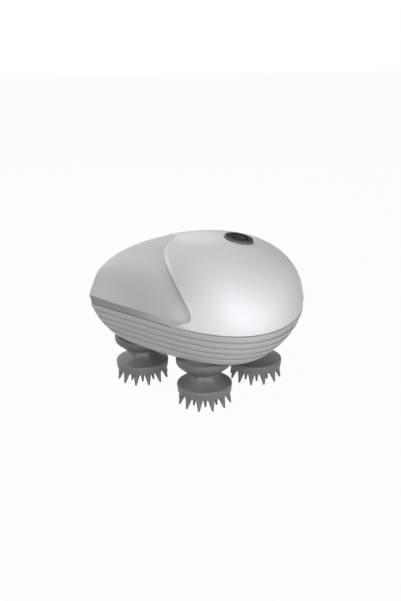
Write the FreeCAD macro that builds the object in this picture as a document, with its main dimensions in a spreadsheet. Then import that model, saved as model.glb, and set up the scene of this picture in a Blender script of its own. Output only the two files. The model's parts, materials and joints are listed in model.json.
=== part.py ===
import FreeCAD, Part
import math
import os
import Sketcher
from FreeCAD import Placement, Rotation, Vector

# Hand-held scalp massager: a drop-shaped housing on four claw heads that one motor turns together.
# Millimetres. +Z up, the nose at -X, the round tail at +X. The origin is under the middle of the
# housing, on the plane of the claw tips.

SIZES = {
    # Housing outline
    "body_length": 112.6,
    "body_width": 97.4,
    "dome_height": 36.7,
    "belly_depth": 28.6,
    "nose_round": 2.2,
    "plan_nose_power": 1.32,
    "plan_tail_power": 0.57,
    "crown_nose_power": 0.405,
    "crown_tail_power": 0.38,
    "belly_nose_power": 0.7,
    "belly_tail_power": 0.78,
    "crown_squareness": 2.19,
    "belly_squareness": 3.05,
    # Heights up the stack, each above the piece under it
    "collar_mouth_height": 1.2,
    "underside_height": 8.5,
    "collar_top_height": 4.5,
    "drive_bush_height": 1.1,
    "gear_bottom": 2.1,
    "chassis_height": 1.6,
    "seam_height": 1.7,
    # Shell walls and ribs
    "shell_wall": 2.0,
    "floor_wall": 2.2,
    "groove_drop": 3.45,
    "groove_pitch": 3.05,
    "groove_count": 4,
    "groove_width": 0.6,
    "groove_depth": 0.5,
    "seal_thickness": 1.0,
    "seal_height": 2.6,
    # Front panel and strip
    "panel_recess": 0.9,
    "panel_wall": 1.4,
    "strip_height": 4.1,
    "strip_recess": 0.7,
    "strip_end": -9.0,
    "strip_taper": -30.0,
    "wave_crown": -9.6,
    "wave_lobe": -14.7,
    "wave_lobe_height": 4.5,
    "wave_foot": -0.8,
    "wave_foot_height": 7.1,
    "wave_toe": -5.1,
    "wave_toe_height": 3.5,
    # Gear train
    "drive_x": 0.9,
    "gear_module": 1.0,
    "drive_teeth": 48,
    "output_teeth": 13,
    "side_head_step": 11,
    "gear_thickness": 5.0,
    "tooth_addendum": 0.8,
    "tooth_dedendum": 1.25,
    "tooth_backlash": 0.16,
    "drive_hub_radius": 7.0,
    "output_hub_radius": 4.4,
    "drive_shaft_radius": 2.5,
    "output_shaft_radius": 3.0,
    # Claw heads
    "head_height": 19.4,
    "disc_radius": 14.1,
    "disc_taper": 0.5,
    "disc_band": 5.9,
    "disc_flare": 3.8,
    "disc_lip": 1.0,
    "disc_round": 0.9,
    "neck_radius": 7.0,
    "claw_length": 6.1,
    "claw_count": 12,
    "claw_tip_circle": 13.4,
    "claw_base_circle": 11.25,
    "claw_base_radius": 2.1,
    "claw_tip_radius": 0.45,
    "inner_claw_count": 8,
    "inner_tip_circle": 8.2,
    "inner_base_circle": 7.0,
    "inner_base_radius": 1.4,
    "socket_depth": 4.6,
    "socket_roof": 7.2,
    "head_turn": 3.7,
    # Collars, seals and bushes
    "collar_radius": 14.2,
    "collar_top_radius": 9.2,
    "collar_foot": 2.2,
    "collar_foot_round": 1.2,
    "bowl_share": 0.5,
    "collar_round": 3.0,
    "collar_shoulder_round": 1.4,
    "collar_relief": 0.5,
    "cup_wall": 1.6,
    "spigot_radius": 7.8,
    "spigot_length": 1.9,
    "bush_radius": 5.5,
    "lip_seal_thickness": 1.5,
    "drive_bush_radius": 4.0,
    "drive_bush_flange": 2.0,
    # Chassis
    "chassis_thickness": 2.0,
    "chassis_inset": 5.0,
    "post_radius": 3.0,
    "tail_post_x": 4.8,
    "tail_post_y": 4.0,
    "nose_post_x": -24.5,
    "nose_post_y": 12.0,
    "nose_prop_x": 5.1,
    # Motor, battery and charging socket
    "motor_radius": 13.0,
    "motor_length": 15.0,
    "motor_shaft_depth": 8.0,
    "motor_screw_circle": 8.5,
    "battery_radius": 5.25,
    "battery_length": 34.0,
    "battery_x": 26.3,
    "cradle_height": 3.4,
    "cradle_thickness": 2.0,
    "charge_board_length": 13.0,
    "charge_board_width": 12.0,
    "charge_board_thickness": 1.2,
    "socket_width": 9.0,
    "socket_height": 3.4,
    "socket_length": 8.0,
    "socket_overhang": 3.4,
    "socket_wall": 0.6,
    # Power button and its switch, measured along the button's own axis
    "button_x": 22.9,
    "button_radius": 7.35,
    "button_proud": 1.0,
    "button_travel": 0.8,
    "sleeve_radius": 10.2,
    "sleeve_depth": 4.0,
    "gasket_thickness": 1.0,
    "flange_radius": 9.2,
    "flange_thickness": 1.0,
    "stem_radius": 2.0,
    "stem_length": 1.6,
    "plunger_radius": 1.5,
    "plunger_reach": 1.2,
    "switch_width": 6.0,
    "switch_height": 3.6,
    "board_length": 26.0,
    "board_width": 21.0,
    "board_thickness": 1.6,
    "board_post_x": 10.5,
    "board_post_y": 8.0,
    # Screws
    "screw_radius": 1.25,
    "screw_head_radius": 2.4,
    "screw_head_height": 1.2,
    "screw_reach": 11.0,
    "small_screw_radius": 1.0,
    "small_screw_head": 1.8,
    # Fits
    "running_gap": 0.03,
    "fit_gap": 0.05,
    "slide_gap": 0.15,
    "rest_gap": 0.2,
    "neck_gap": 0.6,
}

doc = FreeCAD.newDocument("HeadMassager")
sheet = doc.addObject("Spreadsheet::Sheet", "Sizes")
for row, (name, value) in enumerate(SIZES.items(), 1):
    sheet.set(f"A{row}", name)
    sheet.set(f"B{row}", str(value))
    sheet.setAlias(f"B{row}", name)
doc.recompute()


class Size:
    """A length worked out from the sheet: its value and the expression that keeps it true."""

    def __init__(self, value, text):
        self.value = value
        self.text = text

    def __float__(self):
        return float(self.value)

    def __add__(self, other):
        other = as_size(other)
        return Size(self.value + other.value, f"({self.text} + {other.text})")

    def __sub__(self, other):
        other = as_size(other)
        return Size(self.value - other.value, f"({self.text} - {other.text})")

    def __mul__(self, other):
        other = as_size(other)
        return Size(self.value * other.value, f"({self.text} * {other.text})")

    def __truediv__(self, other):
        other = as_size(other)
        return Size(self.value / other.value, f"({self.text} / {other.text})")

    def __neg__(self):
        return Size(-self.value, f"(-{self.text})")

    def __radd__(self, other):
        return as_size(other) + self

    def __rsub__(self, other):
        return as_size(other) - self

    def __rmul__(self, other):
        return as_size(other) * self


def as_size(value):
    return value if isinstance(value, Size) else Size(value, repr(value))


def cosine(angle):
    return Size(math.cos(math.radians(angle.value)), f"cos({angle.text})")


def sine(angle):
    return Size(math.sin(math.radians(angle.value)), f"sin({angle.text})")


def least(*sizes):
    return Size(min(float(size) for size in sizes), f"min({'; '.join(size.text for size in sizes)})")


class Sheet:
    """The sheet's cells by name."""

    def __getattr__(self, name):
        return Size(sheet.get(name), f"Sizes.{name}")


S = Sheet()
ORIGIN = as_size(0)
NODES = []


def node(item, label):
    """Keep a finished piece under the name of its file."""
    item.Label = label
    NODES.append(item)
    return item


def bind(item, **sizes):
    for prop, size in sizes.items():
        item.setExpression(prop, as_size(size).text)
    return item


def move(item, x=ORIGIN, y=ORIGIN, z=ORIGIN):
    for axis, size in zip("xyz", (x, y, z)):
        item.setExpression("Placement.Base." + axis, as_size(size).text)
    return item


def cylinder(name, radius, bottom, top, x=ORIGIN, y=ORIGIN):
    item = bind(doc.addObject("Part::Cylinder", name), Radius=radius, Height=top - bottom)
    return move(item, x, y, bottom)


def hexagon(name, radius, bottom, top, x=ORIGIN, y=ORIGIN):
    item = bind(doc.addObject("Part::Prism", name), Circumradius=radius, Height=top - bottom)
    item.Polygon = 6
    item.Placement.Rotation = Rotation(Vector(0, 0, 1), float(S.head_turn))
    return move(item, x, y, bottom)


def box(name, length, width, height, x, y, z):
    """A box centred on x and y, standing on z."""
    item = bind(doc.addObject("Part::Box", name), Length=length, Width=width, Height=height)
    return move(item, x - length / 2, y - width / 2, z)


def fuse(name, items):
    item = doc.addObject("Part::MultiFuse", name)
    item.Shapes = items
    return item


def cut(name, base, tool):
    item = doc.addObject("Part::Cut", name)
    item.Base = base
    item.Tool = tool
    return item


def group(name, items):
    item = doc.addObject("Part::Compound", name)
    item.Links = items
    return item


def solid(name, shape):
    """A freely shaped piece."""
    item = doc.addObject("Part::Feature", name)
    item.Shape = shape
    item.Placement = Placement()
    return item


def turned(name, corners):
    """A body turned about its Z axis; corners are (radius, height) pairs in order round the profile."""
    body = doc.addObject("PartDesign::Body", name)
    sketch = body.newObject("Sketcher::SketchObject", name + "_profile")
    plane = next(item for item in body.Origin.OriginFeatures if item.Role == "XZ_Plane")
    sketch.AttachmentSupport = (plane, [""])
    sketch.MapMode = "FlatFace"
    spots = [Vector(float(radius), float(height), 0) for radius, height in corners]
    count = len(spots)
    for i, spot in enumerate(spots):
        sketch.addGeometry(Part.LineSegment(spot, spots[(i + 1) % count]), False)
    for i in range(count):
        sketch.addConstraint(Sketcher.Constraint("Coincident", i, 2, (i + 1) % count, 1))
    for i, corner in enumerate(corners):
        for kind, size in zip(("DistanceX", "DistanceY"), corner):
            if kind == "DistanceX" and float(size) == 0:
                sketch.addConstraint(Sketcher.Constraint("PointOnObject", i, 1, -2))
                continue
            mark = sketch.addConstraint(Sketcher.Constraint(kind, -1, 1, i, 1, float(size)))
            sketch.setExpression(f"Constraints[{mark}]", as_size(size).text)
    turn = body.newObject("PartDesign::Revolution", name + "_turn")
    turn.Profile = sketch
    turn.ReferenceAxis = (sketch, ["V_Axis"])
    turn.Angle = 360.0
    return body


def tube(name, inner, outer, bottom, top):
    return turned(name, [(inner, bottom), (outer, bottom), (outer, top), (inner, top)])


def rounded_rim(body, radius, height, fillet):
    """Round the circular edge of a turned body at a given radius and height."""
    doc.recompute()
    base = body.Tip
    for i, edge in enumerate(base.Shape.Edges, 1):
        curve = edge.Curve
        if isinstance(curve, Part.Circle) and abs(curve.Radius - float(radius)) < 1e-6:
            if abs(curve.Center.z - float(height)) < 1e-6:
                rim = body.newObject("PartDesign::Fillet", body.Name + "_rim")
                rim.Base = (base, [f"Edge{i}"])
                return bind(rim, Radius=fillet)


# Heights up the stack, from the claw tips to the seam

DISC_TOP = S.claw_length + S.disc_band
STALK_BOTTOM = DISC_TOP + S.disc_flare
SOCKET_ROOF = S.claw_length + S.socket_roof
COLLAR_ROOF = S.head_height + S.neck_gap
COLLAR_MOUTH = STALK_BOTTOM + S.collar_mouth_height
UNDERSIDE = COLLAR_MOUTH + S.underside_height
COLLAR_TOP = UNDERSIDE + S.collar_top_height
CUP_TOP = COLLAR_TOP + S.floor_wall
SPIGOT_TOP = COLLAR_TOP + S.spigot_length
DRIVE_BUSH_TOP = SPIGOT_TOP + S.drive_bush_height
GEAR_BOTTOM = SPIGOT_TOP + S.gear_bottom
GEAR_TOP = GEAR_BOTTOM + S.gear_thickness
CHASSIS_BOTTOM = GEAR_TOP + S.chassis_height
CHASSIS_TOP = CHASSIS_BOTTOM + S.chassis_thickness
SCREW_TIP = CHASSIS_TOP + S.screw_reach
SEAM = CHASSIS_BOTTOM + S.seam_height


# Housing surface

FLANK_POINTS = 14
DOME_LEVELS = 9
CROWN_FLAT = 0.1


def swell(share, nose_power, tail_power):
    """Rise from the nose and fall to the tail, share^nose (1 - share)^tail with a peak of one."""
    peak = nose_power / (nose_power + tail_power)
    return (share / peak) ** nose_power * ((1 - share) / (1 - peak)) ** tail_power


def half_width(share, inset):
    drop = swell(share, float(S.plan_nose_power), float(S.plan_tail_power))
    tip = swell(share, 0.5, 6.0)
    wide = float(S.body_width) / 2
    return (wide - inset) * drop + float(S.nose_round) * tip * (1 - inset / wide)


def crown_rise(share, inset):
    return (float(S.dome_height) - inset) * swell(share, float(S.crown_nose_power), float(S.crown_tail_power))


def belly_drop(share, inset):
    return (float(S.belly_depth) - inset) * swell(share, float(S.belly_nose_power), float(S.belly_tail_power))


def along(share, inset):
    """X of a share of the length of the housing's surface, drawn in by inset at both ends."""
    return (share - 0.5) * (float(S.body_length) - 2 * inset)


def meeting(function, low, high):
    """Where a function crosses zero between low and high, by halving."""
    for _ in range(50):
        middle = (low + high) / 2
        if function(low) * function(middle) > 0:
            low = middle
        else:
            high = middle
    return middle


def outline(inset, offset):
    """The housing's closed outline at an offset above or below the seam, drawn in by inset."""
    reach = crown_rise if offset > 0 else belly_drop
    power = float(S.crown_squareness if offset > 0 else S.belly_squareness)
    ends = 0.0, 1.0
    if offset:
        middle = 0.5
        ends = [meeting(lambda share: reach(share, inset) - abs(offset), end, middle) for end in ends]
    height = float(SEAM) + offset
    flank = []
    for i in range(1, FLANK_POINTS):
        share = ends[0] + (ends[1] - ends[0]) * (1 - math.cos(math.pi * i / FLANK_POINTS)) / 2
        fullness = 1 - (abs(offset) / reach(share, inset)) ** power
        flank.append(Vector(along(share, inset), half_width(share, inset) * fullness ** (1 / power), height))
    tips = [Vector(along(end, inset), 0, height) for end in ends]
    other = [Vector(point.x, -point.y, height) for point in reversed(flank)]
    points = [tips[0]] + flank + [tips[1]] + other
    curve = Part.BSplineCurve()
    count = len(points)
    curve.interpolate(points, PeriodicFlag=True, Parameters=[i / count for i in range(count + 1)])
    return Part.Wire(curve.toShape())


def dome(inset):
    """The housing above the seam, lofted upwards through its outlines."""
    tall = float(S.dome_height) - inset
    steepest = math.asin(1 - CROWN_FLAT / tall)
    rises = [tall * math.sin(steepest * i / (DOME_LEVELS - 1)) for i in range(DOME_LEVELS)]
    return Part.makeLoft([outline(inset, rise) for rise in rises], True, False)


def belly(inset, bottom, grooved):
    """The housing below the seam, lofted down to a flat bottom, with grooves or smooth."""
    depth = float(SEAM) - bottom
    wires = [outline(inset, 0)]
    for i in range(int(S.groove_count.value)):
        level = float(S.groove_drop + i * S.groove_pitch)
        if grooved:
            half = float(S.groove_width) / 2
            wires.append(outline(inset, half - level))
            wires.append(outline(inset + float(S.groove_depth), -level))
            wires.append(outline(inset, -half - level))
        else:
            wires.append(outline(inset, -level))
    wires.append(outline(inset, -depth))
    return Part.makeLoft(wires, True, True)


def rod(radius, bottom, top, spot):
    return Part.makeCylinder(radius, top - bottom, Vector(spot[0], spot[1], bottom))


def plan_slab(inset, bottom, height):
    """The housing's outline at the seam, drawn in by inset and made a slab on a given bottom."""
    face = Part.Face(outline(inset, 0))
    face.translate(Vector(0, 0, bottom - float(SEAM)))
    return face.extrude(Vector(0, 0, height))


# Stations of the four heads round the drive gear

HEAD_CIRCLE = S.gear_module * (S.drive_teeth + S.output_teeth) / 2
SIDE_ANGLE = S.side_head_step * 360 / S.drive_teeth
STATION_ANGLES = {
    "nose": as_size(180),
    "near": -SIDE_ANGLE,
    "tail": as_size(0),
    "far": SIDE_ANGLE,
}
STATION_SPOTS = {
    name: (S.drive_x + HEAD_CIRCLE * cosine(angle), HEAD_CIRCLE * sine(angle))
    for name, angle in STATION_ANGLES.items()
}
DRIVE_SPOT = (S.drive_x, ORIGIN)
DRIVE_TIP = S.gear_module * (S.drive_teeth / 2 + S.tooth_addendum)
OUTPUT_TIP = S.gear_module * (S.output_teeth / 2 + S.tooth_addendum)
POST_ANGLE = SIDE_ANGLE / 2
TAIL_POSTS = [
    (S.drive_x + DRIVE_TIP * cosine(POST_ANGLE) + S.tail_post_x, side * (DRIVE_TIP * sine(POST_ANGLE) + S.tail_post_y))
    for side in (-1, 1)
]
NOSE_POSTS = [(S.nose_post_x, side * S.nose_post_y) for side in (-1, 1)]
NOSE_PROP = (STATION_SPOTS["nose"][0] - OUTPUT_TIP - S.nose_prop_x, ORIGIN)


def spot_values(spot):
    return float(spot[0]), float(spot[1])


# Power button frame: its axis stands on the crown at button_x

def crown_frame():
    x = float(S.button_x)
    length = float(S.body_length)
    step = 0.001
    share = x / length + 0.5
    height = float(SEAM) + crown_rise(share, 0)
    slope = (crown_rise(share + step, 0) - crown_rise(share - step, 0)) / (2 * step * length)
    tilt = -math.degrees(math.atan(slope))
    return Placement(Vector(x, 0, height), Rotation(Vector(0, 1, 0), tilt))


BUTTON_FRAME = crown_frame()
SLEEVE_BOTTOM = -S.sleeve_depth
GASKET_BOTTOM = SLEEVE_BOTTOM - S.gasket_thickness
FLANGE_TOP = GASKET_BOTTOM - S.fit_gap
FLANGE_BOTTOM = FLANGE_TOP - S.flange_thickness
STEM_BOTTOM = FLANGE_BOTTOM - S.stem_length
SWITCH_TOP = STEM_BOTTOM - S.plunger_reach
BOARD_TOP = SWITCH_TOP - S.switch_height
BOARD_BOTTOM = BOARD_TOP - S.board_thickness
BOARD_SPOTS = [(sx * S.board_post_x, sy * S.board_post_y) for sx in (-1, 1) for sy in (-1, 1)]


def on_button_axis(shape):
    shape.Placement = BUTTON_FRAME
    return shape


# Upper shells

STRIP_TOP = SEAM + S.strip_height


def side_prism(curves):
    """A side view, closed by straight and bent curves of (x, z) poles, run across the whole width."""
    reach = float(S.body_length)
    edges = []
    for poles in curves:
        bezier = Part.BezierCurve()
        bezier.setPoles([Vector(x, -reach, z) for x, z in poles])
        edges.append(bezier.toShape())
    return Part.Face(Part.Wire(edges)).extrude(Vector(0, 2 * reach, 0))


def wave_prism(gap):
    """Everything ahead of the hood's wave edge and above the strip, kept clear of both by gap."""
    reach = float(S.body_length)
    seam = float(SEAM) + gap
    top = float(SEAM) + crown_rise(float(S.wave_crown) / reach + 0.5, 0)
    above = top + reach
    low = float(STRIP_TOP) + gap
    crown = float(S.wave_crown) - gap
    lobe = float(S.wave_lobe) - gap
    lobe_z = float(SEAM + S.dome_height - S.wave_lobe_height)
    shoulder = lobe + (crown - lobe) / 10, top - (top - lobe_z) / 6
    foot = float(S.wave_foot) - gap
    foot_z = float(SEAM + S.wave_foot_height)
    toe = float(S.wave_toe) - gap
    toe_z = seam + float(S.wave_toe_height)
    bend = (lobe_z - foot_z) / 6
    return side_prism([
        [(-reach, low), (-reach, above)],
        [(-reach, above), (crown, above)],
        [(crown, above), (crown, top)],
        [(crown, top), shoulder, (lobe, lobe_z)],
        [(lobe, lobe_z), (lobe, lobe_z - bend), (foot, foot_z + bend), (foot, foot_z)],
        [(foot, foot_z), (foot, toe_z), (toe, toe_z)],
        [(toe, toe_z), (float(S.strip_end) - gap, seam)],
        [(float(S.strip_end) - gap, seam), (float(S.strip_taper), low)],
        [(float(S.strip_taper), low), (-reach, low)],
    ])


def strip_prism(gap):
    """The band between the seam and the front panel, which tapers to a point under the hood's edge."""
    reach = float(S.body_length)
    seam = float(SEAM)
    top = float(STRIP_TOP)
    end = float(S.strip_end) - 2 * gap
    taper = float(S.strip_taper) - gap
    return side_prism([
        [(-reach, seam), (end, seam)],
        [(end, seam), (taper, top)],
        [(taper, top), (-reach, top)],
        [(-reach, top), (-reach, seam)],
    ])


def port_block(gap):
    """The charging port's opening through the tail."""
    wide = float(S.socket_width) + 2 * gap
    tall = float(S.socket_height) + 2 * gap
    bottom = float(CHASSIS_TOP + S.charge_board_thickness) - gap
    front = float(SOCKET_FRONT) + gap
    return Part.makeBox(float(S.body_length), wide, tall, Vector(front, -wide / 2, bottom))


SOCKET_FRONT = S.body_length / 2 - S.shell_wall - S.rest_gap * 2


def rear_hood():
    outer = dome(0)
    shell = outer.cut(dome(float(S.shell_wall)))
    top = float(SEAM + S.dome_height)
    posts = [rod(float(S.post_radius), float(CHASSIS_TOP), top, spot_values(spot)) for spot in TAIL_POSTS]
    inner = [on_button_axis(rod(float(S.sleeve_radius), float(SLEEVE_BOTTOM), float(S.sleeve_depth), (0, 0)))]
    for spot in BOARD_SPOTS:
        post = rod(float(S.stem_radius), float(BOARD_TOP), float(S.sleeve_depth), spot_values(spot))
        inner.append(on_button_axis(post))
    shell = shell.fuse([item.common(outer) for item in posts + inner])
    hole = float(S.button_radius + S.slide_gap)
    tools = [wave_prism(0), strip_prism(0), port_block(float(S.fit_gap))]
    tools.append(on_button_axis(rod(hole, float(BOARD_TOP), float(S.sleeve_depth), (0, 0))))
    hole = max(float(S.sleeve_radius), float(S.flange_radius)) + float(S.slide_gap)
    tools.append(on_button_axis(rod(hole, float(BOARD_TOP), float(SLEEVE_BOTTOM), (0, 0))))
    pilot = float(S.screw_radius + S.fit_gap)
    tools += [rod(pilot, float(CHASSIS_TOP) - 1, float(SCREW_TIP) + 1, spot_values(spot)) for spot in TAIL_POSTS]
    pilot = float(S.small_screw_radius + S.fit_gap)
    for spot in BOARD_SPOTS:
        tip = float(BOARD_TOP + S.screw_reach / 3)
        tools.append(on_button_axis(rod(pilot, float(BOARD_BOTTOM), tip, spot_values(spot))))
    return shell.cut(tools)


def front_panel():
    recess = float(S.panel_recess)
    outer = dome(recess)
    shell = outer.cut(dome(recess + float(S.panel_wall))).common(wave_prism(float(S.fit_gap)))
    top = float(SEAM + S.dome_height)
    posts = [rod(float(S.post_radius), float(CHASSIS_TOP), top, spot_values(spot)) for spot in NOSE_POSTS]
    shell = shell.fuse([item.common(outer) for item in posts])
    pilot = float(S.screw_radius + S.fit_gap)
    holes = [rod(pilot, float(CHASSIS_TOP) - 1, float(SCREW_TIP) + 1, spot_values(spot)) for spot in NOSE_POSTS]
    return shell.cut(holes)


def front_strip():
    recess = float(S.strip_recess)
    band = dome(recess).cut(dome(recess + float(S.panel_wall)))
    return band.common(strip_prism(float(S.fit_gap)))


def port_plug():
    return port_block(0).common(dome(0))


# Lower shell

def collar_pocket(spot):
    """The room a collar's top takes in the lower shell, the hole for its spigot and the relief round it."""
    gap = float(S.fit_gap)
    under = float(UNDERSIDE)
    seat = rod(float(S.collar_top_radius) + gap, 0, float(COLLAR_TOP), spot)
    hole = rod(float(S.spigot_radius) + gap, under, float(SPIGOT_TOP) + 1, spot)
    relief = rod(float(S.collar_radius + S.rest_gap), 0, under + float(S.collar_relief), spot)
    return seat.fuse([hole, relief])


def gear_room(spot):
    """The room an output gear turns in."""
    gap = float(S.rest_gap)
    return rod(float(OUTPUT_TIP) + gap, float(GEAR_BOTTOM) - gap, float(GEAR_TOP) + gap, spot)


def lower_shell():
    under = float(UNDERSIDE)
    body = belly(0, under, True)
    shell = body.cut(belly(float(S.shell_wall), under + float(S.floor_wall), False))
    cup = float(S.collar_top_radius + S.cup_wall)
    inner = [rod(cup, under, float(CUP_TOP), spot_values(spot)) for spot in STATION_SPOTS.values()]
    inner += [rod(float(S.post_radius), under, float(CHASSIS_BOTTOM), spot_values(spot)) for spot in TAIL_POSTS]
    foot = float(S.screw_head_radius + S.cup_wall)
    inner += [rod(foot, under, float(CUP_TOP), spot_values(spot)) for spot in TAIL_POSTS]
    boss = float(S.drive_bush_radius + S.drive_bush_flange)
    boss_top = float(DRIVE_BUSH_TOP - S.drive_bush_flange)
    inner.append(rod(boss, under, boss_top, spot_values(DRIVE_SPOT)))
    inner.append(rod(float(S.post_radius), under, float(CHASSIS_BOTTOM), spot_values(NOSE_PROP)))
    shell = shell.fuse([item.common(body) for item in inner])
    tools = [collar_pocket(spot_values(spot)) for spot in STATION_SPOTS.values()]
    tools += [gear_room(spot_values(spot)) for spot in STATION_SPOTS.values()]
    tools.append(rod(float(S.drive_bush_radius + S.fit_gap), float(DRIVE_FOOT), boss_top + 1, spot_values(DRIVE_SPOT)))
    for spot in TAIL_POSTS:
        x, y = spot_values(spot)
        tools.append(rod(float(S.screw_radius + S.slide_gap), under, float(CHASSIS_TOP), (x, y)))
        tools.append(rod(float(S.screw_head_radius + S.slide_gap), 0, float(SCREW_SEAT), (x, y)))
    return shell.cut(tools)


DRIVE_FOOT = UNDERSIDE + S.floor_wall + 2 * S.rest_gap
SCREW_SEAT = UNDERSIDE + S.screw_head_height + 2 * S.rest_gap


def shell_seal():
    """A ring that follows the walls on both sides of the seam."""
    wall = max(float(S.shell_wall), float(S.panel_recess + S.panel_wall)) + float(S.rest_gap)
    reach = float(S.seal_height) / 2
    rings = []
    for inset in (wall, wall + float(S.seal_thickness)):
        rings.append(Part.makeLoft([outline(inset, offset) for offset in (-reach, 0, reach)], True, True))
    return rings[0].cut(rings[1])


# Chassis plate with the battery cradle

BATTERY_AXIS = CHASSIS_TOP + S.battery_radius + S.rest_gap
BATTERY_X = S.body_length / 2 - S.battery_x


def battery_rod(radius, length):
    spot = Vector(float(BATTERY_X), -length / 2, float(BATTERY_AXIS))
    return Part.makeCylinder(radius, length, spot, Vector(0, 1, 0))


def chassis_plate():
    bottom = float(CHASSIS_BOTTOM)
    thick = float(S.chassis_thickness)
    plate = plan_slab(float(S.chassis_inset), bottom, thick)
    wide = 2 * float(S.battery_radius)
    saddle_y = float(S.battery_length) / 3
    ribs = []
    for side in (-1, 1):
        low = Vector(float(BATTERY_X) - wide / 2, side * saddle_y - float(S.cradle_thickness) / 2, bottom)
        ribs.append(Part.makeBox(wide, float(S.cradle_thickness), thick + float(S.cradle_height), low))
    plate = plate.fuse(ribs)
    top = float(CHASSIS_TOP) + 1
    tools = [battery_rod(float(S.battery_radius + S.fit_gap), float(S.battery_length))]
    shaft = float(S.output_shaft_radius + S.running_gap)
    tools += [rod(shaft, bottom, top, spot_values(spot)) for spot in STATION_SPOTS.values()]
    tools.append(rod(float(S.drive_shaft_radius + S.slide_gap), bottom, top, spot_values(DRIVE_SPOT)))
    screw = float(S.screw_radius + S.slide_gap)
    tools += [rod(screw, bottom, top, spot_values(spot)) for spot in TAIL_POSTS + NOSE_POSTS]
    screw = float(S.small_screw_radius + S.slide_gap)
    tools += [rod(screw, bottom, top, spot_values(spot)) for spot in MOTOR_SCREWS]
    return plate.cut(tools)


MOTOR_SCREWS = [(S.drive_x, side * S.motor_screw_circle) for side in (-1, 1)]


# Gears

def gear_face(teeth, height):
    """A gear's face with involute flanks; one tooth lies along +X."""
    pitch = float(S.gear_module) * teeth / 2
    base = pitch * math.cos(math.radians(20))
    tip = pitch + float(S.tooth_addendum * S.gear_module)
    root = pitch - float(S.tooth_dedendum * S.gear_module)

    def involute(radius):
        roll = math.acos(min(1.0, base / radius))
        return math.tan(roll) - roll

    half = (math.pi * float(S.gear_module) / 2 - float(S.tooth_backlash)) / 2 / pitch + involute(pitch)
    radii = [root, max(base, root), pitch, tip]
    points = []
    for i in range(teeth):
        centre = 2 * math.pi * i / teeth
        flank = [(radius, half - involute(max(radius, base))) for radius in radii]
        for radius, angle in [(r, -a) for r, a in flank] + flank[::-1]:
            turn = centre + angle
            points.append(Vector(radius * math.cos(turn), radius * math.sin(turn), height))
    return Part.Face(Part.makePolygon(points + points[:1]))


def drive_gear():
    bottom = float(GEAR_BOTTOM)
    gear = gear_face(int(S.drive_teeth.value), bottom).extrude(Vector(0, 0, float(S.gear_thickness)))
    low = float(DRIVE_BUSH_TOP + S.rest_gap)
    gear = gear.fuse(rod(float(S.drive_hub_radius), low, float(GEAR_TOP), (0, 0)))
    return gear.cut(rod(float(S.drive_shaft_radius + S.running_gap), low - 1, float(GEAR_TOP) + 1, (0, 0)))


def output_gear(angle):
    """An output gear, turned so that the gap between two teeth faces a tooth of the drive gear."""
    bottom = float(GEAR_BOTTOM)
    teeth = int(S.output_teeth.value)
    gear = gear_face(teeth, bottom).extrude(Vector(0, 0, float(S.gear_thickness)))
    gear.rotate(Vector(), Vector(0, 0, 1), float(angle) + 180 + 180 / teeth)
    low = float(SPIGOT_TOP + S.rest_gap)
    gear = gear.fuse(rod(float(S.output_hub_radius), low, bottom, (0, 0)))
    return gear.cut(rod(float(S.output_shaft_radius + S.running_gap), low - 1, float(GEAR_TOP) + 1, (0, 0)))


# Claw heads

FLARE_LEVELS = 5


def rounded_hexagon(radius, roundness, height):
    """Six equal edges between corners on a circle: flat at roundness 0, that circle at roundness 1."""
    def at(reach, angle):
        return Vector(reach * math.cos(angle), reach * math.sin(angle), height)

    middle = radius * (roundness + (1 - roundness) * math.cos(math.pi / 6))
    edges = []
    for i in range(6):
        start, stop = math.pi * i / 3, math.pi * (i + 1) / 3
        ends = at(radius, start), at(radius, stop)
        bow = at(middle + 1e-3, (start + stop) / 2)
        edges.append(Part.Arc(ends[0], bow, ends[1]).toShape())
    return Part.Wire(edges)


def claw(tip_circle, base_circle, base_radius, angle):
    """One claw hanging from the disc: a cone that leans from its root to its blunt tip on the ground."""
    low = float(S.claw_length)
    outward = Vector(math.cos(angle), math.sin(angle), 0)
    tip = outward * float(tip_circle)
    axis = outward * float(base_circle) + Vector(0, 0, low) - tip
    swell_out = float(base_radius - S.claw_tip_radius)
    root, end = 1.1, -0.1
    cone = Part.makeCone(
        float(S.claw_tip_radius) + swell_out * root,
        float(S.claw_tip_radius) + swell_out * end,
        axis.Length * (root - end),
        tip + axis * root,
        -axis,
    )
    reach = 2 * float(S.disc_radius)
    return cone.common(Part.makeBox(2 * reach, 2 * reach, reach, Vector(-reach, -reach, 0)))


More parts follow.
